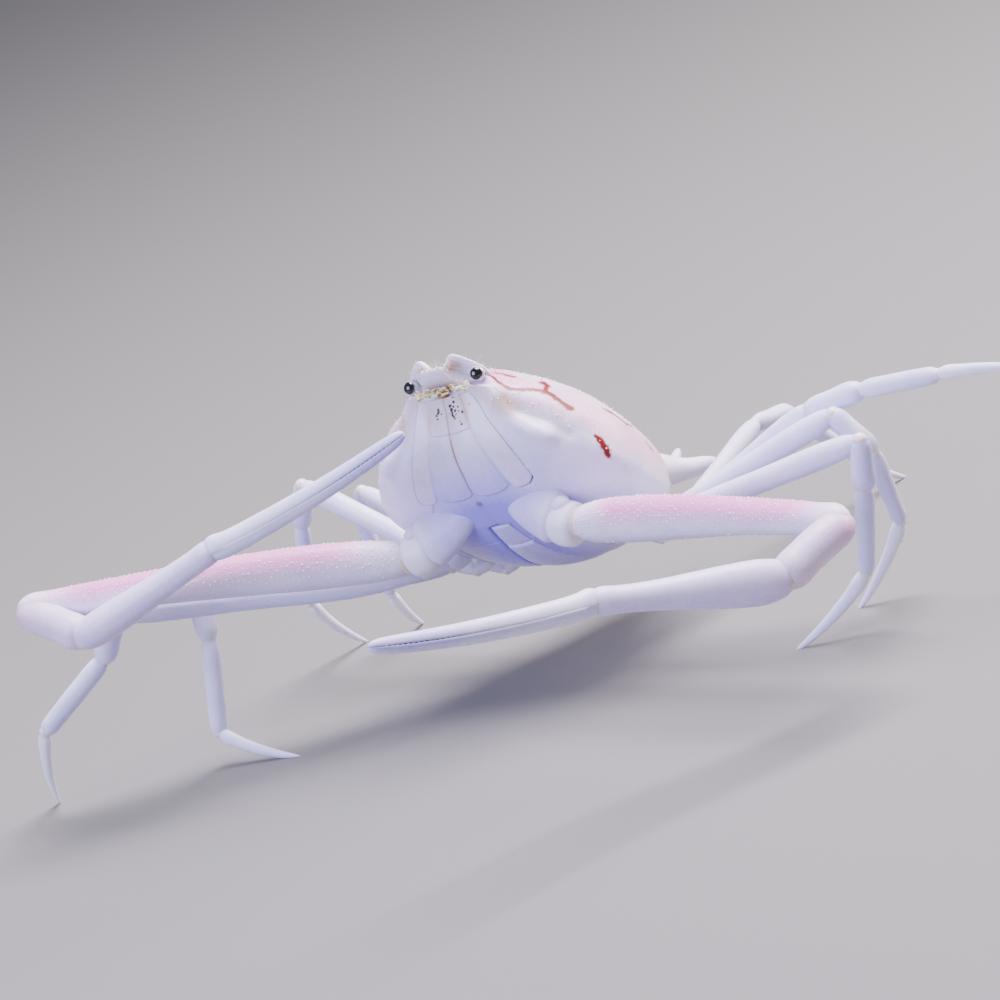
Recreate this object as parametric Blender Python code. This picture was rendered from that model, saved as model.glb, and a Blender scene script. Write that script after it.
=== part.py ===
# A pebble crab (a long-armed nut crab of the genus Myra, adult male), standing still.
# Lengths below are in millimetres. Body frame: x forward, y to the animal's left, z up, from
# the middle of the shell. World frame: the crab faces -Y, its left side is +X, the floor is z = 0.
import math

import bmesh
import bpy
import numpy as np
from mathutils import Matrix, Vector

MM = 0.001
GAP = 0.3

# How the body is held: front up, left side a little higher, and the shell's middle above the floor.
BODY_PITCH = 41.0
BODY_ROLL = 2.0
BODY_HEIGHT = 18.4

# The shell along its length: place, half width, height of the side margin, top and underside.
SHELL_X = (-15.8, -14.8, -12.5, -9.0, -5.0, 0.0, 5.0, 9.0, 11.4, 12.6, 13.6, 14.8)
SHELL_HALF_WIDTH = (2.2, 3.2, 5.2, 7.7, 10.6, 12.4, 12.4, 9.2, 5.3, 4.3, 3.6, 2.5)
SHELL_MARGIN = (1.6, 1.4, 0.4, -1.3, -2.9, -3.8, -3.8, -2.0, -0.1, 1.0, 1.9, 2.3)
SHELL_TOP = (2.2, 2.8, 3.3, 3.6, 3.9, 4.2, 4.5, 4.1, 3.6, 3.2, 2.8, 2.5)
SHELL_UNDER = (0.6, -0.6, -3.4, -6.4, -8.4, -8.9, -7.9, -5.7, -2.9, 0.0, 1.2, 1.9)

# Rear spines as points along each with its radius: the curved middle one and the left of the pair.
MIDDLE_SPINE = ((-14.4, 0, 2.3, 1.2), (-18.2, 0, 4.0, 0.95), (-19.9, 0, 5.8, 0.7), (-20.4, 0, 7.7, 0.4))
SIDE_SPINE = ((-13.2, 2.4, 2.3, 1.25), (-16.4, 4.2, 3.6, 0.95), (-18.6, 5.8, 4.9, 0.4))

TOOTH = (14.2, 2.1, 2.9)
TOOTH_RADIUS = 0.85
EYE = (12.8, 3.5, 2.0)
EYE_RADIUS = 0.72
ORBIT_RADIUS = 1.1

# The mouth field, closed by the outer maxillipeds: its top, foot and half widths there.
MOUTH_TOP = (12.8, -0.4)
MOUTH_FOOT = (6.9, -7.0)
MOUTH_HALF_WIDTHS = (2.9, 6.1)
MOUTH_DEPTH = 1.3

# The breastplate fills the underside below this height, and the tail flap is folded on it.
BREAST_TOP = -5.6
BREAST_X = (-12.6, 5.5)
BREAST_HALF_WIDTH = 6.6
FLAP_X = (-14.7, 4.2)
FLAP_HALF_WIDTHS = (3.4, 1.1)
FLAP_DEPTH = 1.2

# Where each limb's second segment starts in the body frame, and where its base meets the shell.
LIMB_START = {
    "claw": (4.7, 9.5, -9.7),
    "leg1": (0.7, 10.4, -9.8),
    "leg2": (-2.4, 10.0, -8.3),
    "leg3": (-5.3, 9.5, -7.7),
    "leg4": (-7.9, 8.3, -6.9),
}
LIMB_ROOT = {
    "claw": (3.6, 5.6, -5.2),
    "leg1": (0.2, 6.0, -5.6),
    "leg2": (-2.6, 6.0, -5.2),
    "leg3": (-5.4, 5.6, -4.6),
    "leg4": (-7.8, 5.0, -4.0),
}

# Lengths of a limb's segments from the merus out, and radii of base, merus, carpus, palm, tip.
LIMB_LENGTHS = {
    "claw": (33.7, 6.8, 15.6, 20.1),
    "leg1": (27.3, 4.3, 8.5, 9.7),
    "leg2": (22.8, 4.4, 8.5, 8.9),
    "leg3": (20.7, 5.2, 8.8, 9.8),
    "leg4": (19.1, 4.6, 7.7, 8.4),
}
LIMB_RADII = {
    "claw": (1.75, 1.75, 1.6, 1.55, 1.15),
    "leg1": (1.15, 0.95, 0.92, 0.78, 0.56),
    "leg2": (1.1, 0.92, 0.9, 0.75, 0.54),
    "leg3": (1.05, 0.9, 0.88, 0.72, 0.52),
    "leg4": (1.0, 0.85, 0.82, 0.68, 0.5),
}

# Each segment's heading in degrees: turned outward from straight ahead, then raised. The last
# segment of a leg that stands drops to the floor, so its second angle isn't used.
POSE = {
    "claw_left": ((72, 0), (-27, -19), (-41, 15), (-25, 14)),
    "leg1_left": ((88, 11), (-105, -72), (-113, -63), (-79, None)),
    "leg2_left": ((94, 18), (108, -61), (-151, -61), (-76, None)),
    "leg3_left": ((93, 25), (94, 8), (80, 4), (87, -4)),
    "leg4_left": ((180, 11), (172, -10), (171, -48), (171, None)),
    "claw_right": ((65, 9), (-81, -25), (-102, 18), (-111, 15)),
    "leg1_right": ((63, 10), (68, -53), (59, -33), (127, None)),
    "leg2_right": ((63, 13), (0, -86), (35, -76), (-84, None)),
    "leg3_right": ((100, 28), (119, -50), (115, -63), (172, None)),
    "leg4_right": ((107, 25), (127, -43), (151, -83), (157, None)),
}

SEGMENTS = ("merus", "carpus", "propodus", "dactylus")
SIDES = ((1, "left"), (-1, "right"))

# Radius along each segment, as a share of the limb's radius there.
PROFILES = {
    "base": ((0.0, 1.0), (1.0, 1.0)),
    "merus": ((0.0, 0.85), (0.15, 1.0), (0.5, 1.0), (0.85, 0.98), (1.0, 1.05)),
    "carpus": ((0.0, 0.9), (0.4, 1.05), (1.0, 1.0)),
    "propodus": ((0.0, 0.95), (0.3, 1.05), (0.8, 1.0), (1.0, 0.85)),
    "dactylus": ((0.0, 1.05), (0.3, 0.95), (0.7, 0.68), (1.0, 0.3)),
}

# How far a segment's middle rises off the straight line, and how far a leg's tip segment curves.
BOW = {("claw", "merus"): 0.5, ("claw", "dactylus"): -0.45}
TIP_BOW = 0.45
WHITE = (0.82, 0.80, 0.78, 1.0)
PINK = (0.80, 0.62, 0.60, 1.0)
BLACK = (0.012, 0.012, 0.016, 1.0)


def fresh_collection(name):
    made = bpy.data.collections.new(name)
    bpy.context.scene.collection.children.link(made)
    return made


# The smooth curve through the stations, at x.
def through(places, values, x):
    slopes = np.gradient(values, places)
    i = int(np.clip(np.searchsorted(places, x) - 1, 0, len(places) - 2))
    span = places[i + 1] - places[i]
    t = min(max((x - places[i]) / span, 0.0), 1.0)
    rise = values[i] * (1 + 2 * t) * (1 - t) ** 2 + values[i + 1] * t * t * (3 - 2 * t)
    return rise + span * t * (1 - t) * (slopes[i] * (1 - t) - slopes[i + 1] * t)


# One material with the piece's own colour.
def coat(name, colour, roughness):
    made = bpy.data.materials.new(name)
    made.use_nodes = True
    shader = made.node_tree.nodes["Principled BSDF"]
    shader.inputs["Base Color"].default_value = colour
    shader.inputs["Roughness"].default_value = roughness
    shader.inputs["Metallic"].default_value = 0.0
    return made


# A smooth-shaded object whose mesh is given in millimetres about its origin.
def object_from(name, bm, origin=Vector((0, 0, 0)), parent=None):
    bmesh.ops.recalc_face_normals(bm, faces=bm.faces)
    if bm.calc_volume(signed=True) < 0:
        bmesh.ops.reverse_faces(bm, faces=bm.faces)
    bmesh.ops.translate(bm, vec=-origin, verts=bm.verts)
    bmesh.ops.scale(bm, vec=(MM, MM, MM), verts=bm.verts)
    mesh = bpy.data.meshes.new(name)
    bm.to_mesh(mesh)
    bm.free()
    mesh.shade_smooth()
    made = bpy.data.objects.new(name, mesh)
    made.location = origin * MM
    made.parent = parent
    parts.objects.link(made)
    return made


# Gives a piece its own material.
def give(piece, colour, roughness=0.45):
    piece.data.materials.clear()
    piece.data.materials.append(coat(piece.name, colour, roughness))


# Keeps only the largest closed surface of a mesh, with its many-sided faces made triangles.
def largest_body(mesh):
    bm = bmesh.new()
    bm.from_mesh(mesh)
    bmesh.ops.remove_doubles(bm, verts=bm.verts, dist=1e-7)
    bmesh.ops.triangulate(bm, faces=[face for face in bm.faces if len(face.verts) > 4])
    left = set(bm.verts)
    islands = []
    while left:
        island = {left.pop()}
        edge = list(island)
        while edge:
            found = [e.other_vert(v) for v in edge for e in v.link_edges]
            edge = [v for v in set(found) if v in left]
            left.difference_update(edge)
            island.update(edge)
        islands.append(island)
    islands.sort(key=len)
    for island in islands[:-1]:
        bmesh.ops.delete(bm, geom=list(island), context="VERTS")
    bm.to_mesh(mesh)
    bm.free()


# Applies one Boolean to the target, then removes the other object unless it is kept.
def combine(target, other, operation, keep=False):
    modifier = target.modifiers.new(operation.lower(), "BOOLEAN")
    modifier.operation = operation
    modifier.solver = "EXACT"
    modifier.object = other
    bpy.context.view_layer.update()
    graph = bpy.context.evaluated_depsgraph_get()
    mesh = bpy.data.meshes.new_from_object(target.evaluated_get(graph))
    target.modifiers.clear()
    target.data = mesh
    largest_body(mesh)
    if not keep:
        bpy.data.objects.remove(other)


# The shell's surface point that a unit direction from its middle maps to.
def shell_point(direction, swell=0.0):
    x = 0.5 * (SHELL_X[-1] + SHELL_X[0]) + 0.5 * (SHELL_X[-1] - SHELL_X[0]) * direction.x
    across = max(math.hypot(direction.y, direction.z), 1e-6)
    y, z = direction.y / across, direction.z / across
    if across < 1e-4:
        y, z = 0.0, 0.0
    margin = through(SHELL_X, SHELL_MARGIN, x)
    edge = through(SHELL_X, SHELL_TOP if z > 0 else SHELL_UNDER, x)
    half_width = max(through(SHELL_X, SHELL_HALF_WIDTH, x) + swell, 0.3)
    height = max(abs(edge - margin) + swell, 0.2)
    point = Vector((x, half_width * y, margin + height * z))
    if swell:
        point.x += math.copysign(swell, direction.x) * abs(direction.x) ** 3
    return point


# The whole closed shell, made from a sphere whose poles are its front and rear.
def shell_body(name, swell=0.0, around=40, along=26):
    bm = bmesh.new()
    turn = Matrix.Rotation(math.radians(90), 4, "Y")
    bmesh.ops.create_uvsphere(bm, u_segments=around, v_segments=along, radius=1.0, matrix=turn)
    for vert in bm.verts:
        vert.co = shell_point(vert.co.normalized(), swell)
    return object_from(name, bm, parent=body)


def ball(name, centre, radius, stretch=(1, 1, 1), sides=12):
    bm = bmesh.new()
    bmesh.ops.create_uvsphere(bm, u_segments=sides, v_segments=sides * 2 // 3, radius=radius)
    bmesh.ops.scale(bm, vec=stretch, verts=bm.verts)
    bmesh.ops.translate(bm, vec=centre, verts=bm.verts)
    return object_from(name, bm, parent=body)


# A prism over a flat outline, given as (along, across) pairs, from the plane inwards.
def slab(name, outline, depth, origin, along, normal, parent=None):
    across = normal.cross(along).normalized()
    bm = bmesh.new()
    ring = [bm.verts.new(origin + along * u + across * v + normal * 4.0) for u, v in outline]
    face = bm.faces.new(ring)
    grown = bmesh.ops.extrude_face_region(bm, geom=[face])
    moved = [item for item in grown["geom"] if isinstance(item, bmesh.types.BMVert)]
    bmesh.ops.translate(bm, vec=-normal * (4.0 + depth), verts=moved)
    return object_from(name, bm, parent=parent)


def box(name, low, high, parent=None):
    bm = bmesh.new()
    bmesh.ops.create_cube(bm, size=1.0)
    size = [b - a for a, b in zip(low, high)]
    middle = [(a + b) / 2 for a, b in zip(low, high)]
    bmesh.ops.scale(bm, vec=size, verts=bm.verts)
    bmesh.ops.translate(bm, vec=middle, verts=bm.verts)
    return object_from(name, bm, parent=parent)


# A curved spine: a sphere stretched along a line of points, with a radius at each.
def bent_spine(line, radii, sides=10, rings=10):
    bm = bmesh.new()
    bmesh.ops.create_uvsphere(bm, u_segments=sides, v_segments=rings, radius=1.0)
    spots = np.linspace(0.0, 1.0, len(line))
    across = (line[-1] - line[0]).cross(Vector((0, 0, 1))).normalized()
    for vert in bm.verts:
        t = (max(-1.0, min(1.0, vert.co.z)) + 1) / 2
        ring = math.hypot(vert.co.x, vert.co.y)
        ends = (max(t - 0.04, 0.0), min(t + 0.04, 1.0))
        low, middle, high = [
            Vector([through(spots, [point[k] for point in line], u) for k in range(3)])
            for u in (ends[0], t, ends[1])
        ]
        axis = (high - low).normalized()
        rise = across.cross(axis).normalized()
        radius = through(spots, radii, t) * (1 - abs(2 * t - 1) ** 6) ** 0.5
        x, y = (vert.co.x / ring, vert.co.y / ring) if ring > 1e-5 else (0.0, 0.0)
        vert.co = middle + (across * x + rise * y) * radius
    return object_from("spine", bm, parent=body)


# A closed rod along start to end, made from a sphere, with its radius from the profile.
def spindle(bm, start, end, profile, blunt, sides, rings, bow=Vector((0, 0, 0))):
    axis = (end - start).normalized()
    side = axis.cross(Vector((0, 0, 1))).normalized()
    rise = side.cross(axis).normalized()
    length = (end - start).length
    made = bmesh.ops.create_uvsphere(bm, u_segments=sides, v_segments=rings, radius=1.0)
    spots, radii = zip(*profile)
    for vert in made["verts"]:
        z = max(-1.0, min(1.0, vert.co.z))
        ring = math.hypot(vert.co.x, vert.co.y)
        t = (z + 1) / 2
        radius = through(spots, radii, t) * (1 - abs(z) ** blunt) ** 0.5
        x, y = (vert.co.x / ring, vert.co.y / ring) if ring > 1e-5 else (0.0, 0.0)
        vert.co = start + axis * (length * t) + (side * x + rise * y) * radius
        vert.co += bow * (4 * t * (1 - t))


# Cuts away what lies beyond the plane and closes the cut with a flat face.
def trim(bm, point, normal):
    everything = list(bm.verts) + list(bm.edges) + list(bm.faces)
    bmesh.ops.bisect_plane(
        bm, geom=everything, dist=1e-5, plane_co=point, plane_no=normal, clear_outer=True
    )
    rim = [edge for edge in bm.edges if edge.is_boundary]
    if rim:
        bmesh.ops.holes_fill(bm, edges=rim)


def heading(side, turn, lift):
    turn, lift = math.radians(turn), math.radians(lift)
    level = math.cos(lift)
    return Vector((side * math.sin(turn) * level, -math.cos(turn) * level, math.sin(lift)))


# The limb's joints in the world, from the start of its merus to its tip.
def limb_joints(kind, side_name):
    side = 1 if side_name == "left" else -1
    x, y, z = LIMB_START[kind]
    joints = [to_world(Vector((x, side * y, z)))]
    for length, (turn, lift) in zip(LIMB_LENGTHS[kind], POSE[kind + "_" + side_name]):
        if lift is None:
            lift = -math.degrees(math.asin(min(1.0, joints[-1].z / length)))
        joints.append(joints[-1] + heading(side, turn, lift) * length)
    return joints


def to_world(point):
    return body_matrix @ point


# The direction across a joint, halfway between the two segments that meet there.
def mitre(before, joint, after):
    return ((joint - before).normalized() + (after - joint).normalized()).normalized()


bpy.context.scene.unit_settings.length_unit = "MILLIMETERS"
for old in list(bpy.data.objects):
    bpy.data.objects.remove(old)
parts = fresh_collection("pebble_crab")

body_matrix = (
    Matrix.Translation((0, 0, BODY_HEIGHT))
    @ Matrix.Rotation(math.radians(-90), 4, "Z")
    @ Matrix.Rotation(math.radians(-BODY_PITCH), 4, "Y")
    @ Matrix.Rotation(math.radians(BODY_ROLL), 4, "X")
)
body = bpy.data.objects.new("body_frame", None)
body.matrix_world = Matrix.Scale(MM, 4) @ body_matrix @ Matrix.Scale(1 / MM, 4)
parts.objects.link(body)
bpy.context.view_layer.update()

# The shell, with its two blunt front teeth and the eye sockets.
shell = shell_body("carapace")
for side in (1, -1):
    x, y, z = TOOTH
    tooth = ball("tooth", (x, side * y, z), TOOTH_RADIUS, (1.0, 1.1, 0.62))
    combine(shell, tooth, "UNION")
sockets = bmesh.new()
for side, name in SIDES:
    centre = Vector((EYE[0], side * EYE[1], EYE[2]))
    outward = Vector((0.78, side * 0.58, -0.1)).normalized()
    profile = ((0.0, ORBIT_RADIUS), (1.0, ORBIT_RADIUS * 1.25))
    spindle(sockets, centre - outward * 1.15, centre + outward * 2.6, profile, 3, 14, 9)
combine(shell, object_from("sockets", sockets, parent=body), "DIFFERENCE")

# Each socket is open towards the middle too, below the front teeth.
channels = bmesh.new()
for side, name in SIDES:
    centre = Vector((EYE[0], side * EYE[1], EYE[2]))
    inward = Vector((0.74, -side * 0.55, -0.38)).normalized()
    profile = ((0.0, ORBIT_RADIUS * 0.8), (1.0, ORBIT_RADIUS * 0.9))
    spindle(channels, centre - inward * 0.6, centre + inward * 3.4, profile, 4, 14, 9)
combine(shell, object_from("channels", channels, parent=body), "DIFFERENCE")

# The mouth field is a wedge that widens downwards, set a little into the shell.
mouth_top = Vector((MOUTH_TOP[0], 0, MOUTH_TOP[1]))
mouth_down = Vector((MOUTH_FOOT[0], 0, MOUTH_FOOT[1])) - mouth_top
mouth_length = mouth_down.length
mouth_down.normalize()
mouth_out = Vector((-mouth_down.z, 0, mouth_down.x))
wide = MOUTH_HALF_WIDTHS
for side, name in SIDES:
    inner = side * GAP / 2
    outline = [(0, inner), (0, side * wide[0]), (mouth_length, side * wide[1]), (mouth_length, inner)]
    plate = shell_body("maxilliped_" + name)
    cutter = slab("cutter", outline, MOUTH_DEPTH, mouth_top, mouth_down, mouth_out, body)
    combine(plate, cutter, "INTERSECT")
    give(plate, WHITE)
outline = [
    (-GAP, -wide[0] - GAP),
    (-GAP, wide[0] + GAP),
    (mouth_length + GAP, wide[1] + GAP),
    (mouth_length + GAP, -wide[1] - GAP),
]
cutter = slab("cutter", outline, MOUTH_DEPTH + GAP, mouth_top, mouth_down, mouth_out, body)
combine(shell, cutter, "DIFFERENCE")

# The breastplate is the shell's underside between the limbs, and the tail flap is folded on it.
run = FLAP_X[1] - FLAP_X[0]
start, end = FLAP_HALF_WIDTHS
forward, down = Vector((1, 0, 0)), Vector((0, 0, -1))
flap_start = Vector((FLAP_X[0], 0, -14.0))
outline = [(0, -start), (0, start), (run, end), (run, -end)]
flap = shell_body("abdomen")
combine(flap, slab("cutter", outline, 14.2, flap_start, forward, down, body), "INTERSECT")
combine(flap, shell_body("cutter", -FLAP_DEPTH), "DIFFERENCE")
give(flap, WHITE)
start, end = start + GAP, end + GAP
outline = [(-3, -start), (-3, start), (0, start), (run + GAP, end), (run + GAP, -end), (0, -start)]
channel = shell_body("channel", 0.5)
combine(channel, slab("cutter", outline, 14.2, flap_start, forward, down, body), "INTERSECT")
combine(channel, shell_body("cutter", -FLAP_DEPTH - GAP), "DIFFERENCE")
breast = shell_body("sternum")
low = (BREAST_X[0], -BREAST_HALF_WIDTH, -14.0)
high = (BREAST_X[1], BREAST_HALF_WIDTH, BREAST_TOP)
combine(breast, box("cutter", low, high, body), "INTERSECT")
combine(breast, channel, "DIFFERENCE")
give(breast, WHITE)
low = tuple(value - GAP for value in low)
high = tuple(value + GAP for value in high)
combine(shell, box("cutter", low, high, body), "DIFFERENCE")
slope = Vector((9.0, 0, -8.1))
outline = [(0, -start), (0, start), (slope.length, start), (slope.length, -start)]
slope.normalize()
outside = Vector((slope.z, 0, -slope.x))
rear = Vector((-16.2, 0, 2.2))
combine(shell, slab("cutter", outline, 0.0, rear, slope, outside, body), "DIFFERENCE")

# The three spines of the rear margin: one in the middle that curves up, and a stout pair.
for side, path in ((1, SIDE_SPINE), (-1, SIDE_SPINE), (0, MIDDLE_SPINE)):
    line = [Vector((x, y * side, z)) for x, y, z, radius in path]
    combine(shell, bent_spine(line, [spot[3] for spot in path]), "UNION")
give(shell, WHITE)

# Each eye is a ball that sits in its socket.
for side, name in SIDES:
    eye = ball("eye_" + name, (EYE[0], side * EYE[1], EYE[2]), EYE_RADIUS, sides=14)
    give(eye, BLACK)

# Limbs: a base on the shell, then merus, carpus, propodus and dactylus out to the tip.
fence = shell_body("fence", GAP)
for limb in POSE:
    kind, side_name = limb.split("_")
    side = 1 if side_name == "left" else -1
    claw = kind == "claw"
    x, y, z = LIMB_ROOT[kind]
    root = to_world(Vector((x, side * y, z)))
    joints = [root] + limb_joints(kind, side_name)
    radii = LIMB_RADII[kind]
    sides = 14 if claw else 10
    rings = 10 if claw else 8
    made = []
    for k, part in enumerate(("base",) + SEGMENTS):
        near, far = joints[k], joints[k + 1]
        axis = (far - near).normalized()
        radius = radii[k]
        turned_in = claw and part == "carpus"
        if turned_in:
            aside = axis - axis.project(near - joints[k - 1])
            near = near + aside.normalized() * (0.8 * radius)
        opening = joints[k - 1] if k else near - axis
        reach = [0.9 * radius, 0.9 * radius]
        if part == "dactylus":
            reach[1] = 0.35
        if claw and part == "merus":
            reach[1] = 0.3 * radius
        bm = bmesh.new()
        profile = [(t, radius * r) for t, r in PROFILES[part]]
        rise = (Vector((0, 0, 1)) - axis * axis.z).normalized()
        bow = rise * BOW.get((kind, part), 0.0)
        if part == "dactylus" and not claw:
            before = (near - opening).normalized()
            bow = (before - before.project(axis)).normalized() * TIP_BOW
        a, b = near - axis * reach[0], far + axis * reach[1]
        spindle(bm, a, b, profile, 14, sides, rings, bow)
        if k and not turned_in:
            across = mitre(joints[k - 1], near, far)
            trim(bm, near + across * (GAP / 2), -across)
        if k < 4 and not (claw and part == "merus"):
            across = mitre(near, far, joints[k + 2])
            trim(bm, far - across * (GAP / 2), across)
        if part == "dactylus" and POSE[limb][3][1] is None:
            trim(bm, Vector((0, 0, 0)), Vector((0, 0, -1)))
        if claw and part == "dactylus":
            # The finger rod splits lengthwise: the moving finger above, the fixed one below.
            trim(bm, near + rise * (GAP / 2), -rise)
            spare = bmesh.new()
            spindle(spare, near - axis * radius, b, profile, 14, sides, rings, bow)
            trim(spare, near - rise * (GAP / 2), rise)
            fixed = object_from("fixed_finger", spare, near)
            combine(made[-1], fixed, "UNION")
        piece = object_from(limb + "_" + part, bm, near)
        if k == 0:
            combine(piece, fence, "DIFFERENCE", keep=True)
        if turned_in:
            guard = bmesh.new()
            inner = joints[k - 1]
            line = (joints[k] - inner).normalized()
            swollen = [(t, radii[1] * r + GAP) for t, r in PROFILES["merus"]]
            reach = 0.9 * radii[1], 0.3 * radii[1] + GAP
            a, b = inner - line * reach[0], joints[k] + line * reach[1]
            arch = Vector((0, 0, 1)) - line * line.z
            spindle(guard, a, b, swollen, 14, sides, rings, arch.normalized() * BOW[kind, "merus"])
            combine(piece, object_from("guard", guard), "DIFFERENCE")
        give(piece, PINK if claw and part in ("base", "merus") else WHITE)
        made.append(piece)
bpy.data.objects.remove(fence)

# The origin goes on the floor, under the middle of the whole animal.
bpy.context.view_layer.update()
pieces = [piece for piece in parts.objects if piece.type == "MESH"]
spots = [piece.matrix_world @ vert.co for piece in pieces for vert in piece.data.vertices]
for k in (0, 1):
    middle = (min(spot[k] for spot in spots) + max(spot[k] for spot in spots)) / 2
    for piece in parts.objects:
        if piece.parent is None:
            piece.location[k] -= middle
bpy.context.view_layer.update()
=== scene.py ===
import itertools
import math
from types import SimpleNamespace

import bmesh
import bpy
import numpy as np
from mathutils import Matrix, Vector


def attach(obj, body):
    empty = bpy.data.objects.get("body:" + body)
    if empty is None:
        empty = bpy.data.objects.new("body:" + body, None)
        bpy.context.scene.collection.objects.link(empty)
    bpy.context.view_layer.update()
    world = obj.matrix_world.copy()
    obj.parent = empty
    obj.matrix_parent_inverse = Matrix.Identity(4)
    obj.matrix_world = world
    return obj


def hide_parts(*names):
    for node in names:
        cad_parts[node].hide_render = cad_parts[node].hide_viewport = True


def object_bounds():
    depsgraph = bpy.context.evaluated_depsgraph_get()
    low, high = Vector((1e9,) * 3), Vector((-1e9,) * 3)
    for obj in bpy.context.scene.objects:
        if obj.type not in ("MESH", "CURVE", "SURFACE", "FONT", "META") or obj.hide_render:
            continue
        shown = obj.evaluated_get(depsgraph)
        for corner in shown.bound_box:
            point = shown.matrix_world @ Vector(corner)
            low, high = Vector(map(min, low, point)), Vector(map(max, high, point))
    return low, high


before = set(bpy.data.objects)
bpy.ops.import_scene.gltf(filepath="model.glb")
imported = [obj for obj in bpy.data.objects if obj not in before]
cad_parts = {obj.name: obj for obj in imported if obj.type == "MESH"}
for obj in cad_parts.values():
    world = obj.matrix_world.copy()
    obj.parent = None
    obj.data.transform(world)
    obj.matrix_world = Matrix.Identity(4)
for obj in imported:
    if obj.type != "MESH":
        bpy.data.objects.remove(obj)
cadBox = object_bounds()
print("frame loaded:", len(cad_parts), "solids")

mm = 0.001  # shapes below are worked in millimetres and scaled once, when a piece is finished

# How the body is held. Body frame: x forward, y to the animal's left, z up.
stance = {"pitch": 41.0, "roll": 2.0, "height": 18.4, "shift": (-2.5957, 9.2826)}
bodyMatrix = (
    Matrix.Translation((stance["shift"][0], stance["shift"][1], stance["height"]))
    @ Matrix.Rotation(math.radians(-90), 4, "Z")
    @ Matrix.Rotation(math.radians(-stance["pitch"]), 4, "Y")
    @ Matrix.Rotation(math.radians(stance["roll"]), 4, "X")
)
bothSides = ((1, "left"), (-1, "right"))


# Small helpers
def toLinear(hexColour):
    parts = [int(hexColour[i : i + 2], 16) / 255 for i in (1, 3, 5)]
    return tuple(p / 12.92 if p <= 0.04045 else ((p + 0.055) / 1.055) ** 2.4 for p in parts) + (1.0,)


def smoothStep(low, high, value):
    t = np.clip((value - low) / (high - low), 0.0, 1.0)
    return t * t * (3 - 2 * t)


def smoothThrough(places, values, x):  # a smooth curve through the stations
    places, values = np.asarray(places, float), np.asarray(values, float)
    slopes = np.gradient(values, places)
    i = np.clip(np.searchsorted(places, x) - 1, 0, len(places) - 2)
    span = places[i + 1] - places[i]
    t = np.clip((x - places[i]) / span, 0.0, 1.0)
    rise = values[i] * (1 + 2 * t) * (1 - t) ** 2 + values[i + 1] * t * t * (3 - 2 * t)
    return rise + span * t * (1 - t) * (slopes[i] * (1 - t) - slopes[i + 1] * t)


def alongLine(line, t):  # places on a smooth curve through a line's points, for t from 0 to 1
    spots = np.linspace(0, 1, len(line))
    return np.stack([smoothThrough(spots, line[:, k], t) for k in range(3)], 1)


def bell(value, width, power=2):  # 1 at zero, falling off over the width
    return np.exp(-((value / width) ** power))


def lineDistance(points, line, normals=None):
    # From a polyline. Where normals are given it is measured along the surface, for a line whose
    # points lie up to the slack off it.
    slack = 0.7
    line = np.asarray(line, float)
    best = np.full(len(points), np.inf)
    for start, end in zip(line[:-1], line[1:]):
        run = end - start
        t = np.clip((points - start) @ run / (run @ run), 0, 1)
        offset = points - start - t[:, None] * run
        if normals is not None:
            offset -= normals * np.clip((offset * normals).sum(1), -slack, slack)[:, None]
        best = np.minimum(best, np.linalg.norm(offset, axis=1))
    return best


def unit(vector):
    return vector / np.linalg.norm(vector)


def unitRows(vectors):
    return vectors / np.linalg.norm(vectors, axis=1)[:, None]


def readPoints(verts):
    return np.array([vert.co for vert in verts])


def writePoints(verts, points):
    for vert, point in zip(verts, points):
        vert.co = point


def readNormals(bm, verts):
    bm.normal_update()
    return np.array([vert.normal for vert in verts])


def newShape():
    bm = bmesh.new()
    bm.verts.layers.float_color.new("tint")
    return bm


shapeStore = {}


def copyIn(bm, key, make):  # a basic shape, made once by an operator and then copied in
    if key not in shapeStore:
        fresh = newShape()
        make(fresh)
        shapeStore[key] = bpy.data.meshes.new("shapeStore")
        fresh.to_mesh(shapeStore[key])
        fresh.free()
    count = len(bm.verts)
    bm.from_mesh(shapeStore[key])
    bm.verts.ensure_lookup_table()
    return bm.verts[count:]


def addBall(bm, sides, rings):
    def make(fresh):
        bmesh.ops.create_uvsphere(fresh, u_segments=sides, v_segments=rings, radius=1.0)

    return copyIn(bm, (sides, rings), make)


def addSlab(bm, cuts):  # a unit box, cut finely across its top and bottom
    def make(fresh):
        bmesh.ops.create_cube(fresh, size=1.0)
        flat = [edge for edge in fresh.edges if abs(edge.verts[0].co.z - edge.verts[1].co.z) < 0.1]
        bmesh.ops.subdivide_edges(fresh, edges=flat, cuts=cuts, use_grid_fill=True)

    return copyIn(bm, ("slab", cuts), make)


def turnOver(bm, verts):
    bmesh.ops.reverse_faces(bm, faces=list({face for vert in verts for face in vert.link_faces}))


def paint(bm, verts, flush=0.0, warm=0.0, lavenderAndShade=0.0, mark=0.0):
    layer = bm.verts.layers.float_color["tint"]
    columns = [np.broadcast_to(np.clip(c, 0, 1), len(verts)) for c in (flush, warm, lavenderAndShade, mark)]
    for vert, row in zip(verts, np.stack(columns, 1)):
        vert[layer] = row


def aimed(place, way, axis="Z"):  # a matrix at a place, with its axis turned the given way
    return Matrix.Translation(place) @ way.to_track_quat(axis, "Y").to_matrix().to_4x4()


def addObject(name, data):
    made = bpy.data.objects.new(name, data)
    bpy.context.scene.collection.objects.link(made)
    return made


def meshObject(name, bm, material):
    mesh = bpy.data.meshes.new(name)
    bm.to_mesh(mesh)
    bm.free()
    mesh.materials.append(material)
    return addObject(name, mesh)


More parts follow.
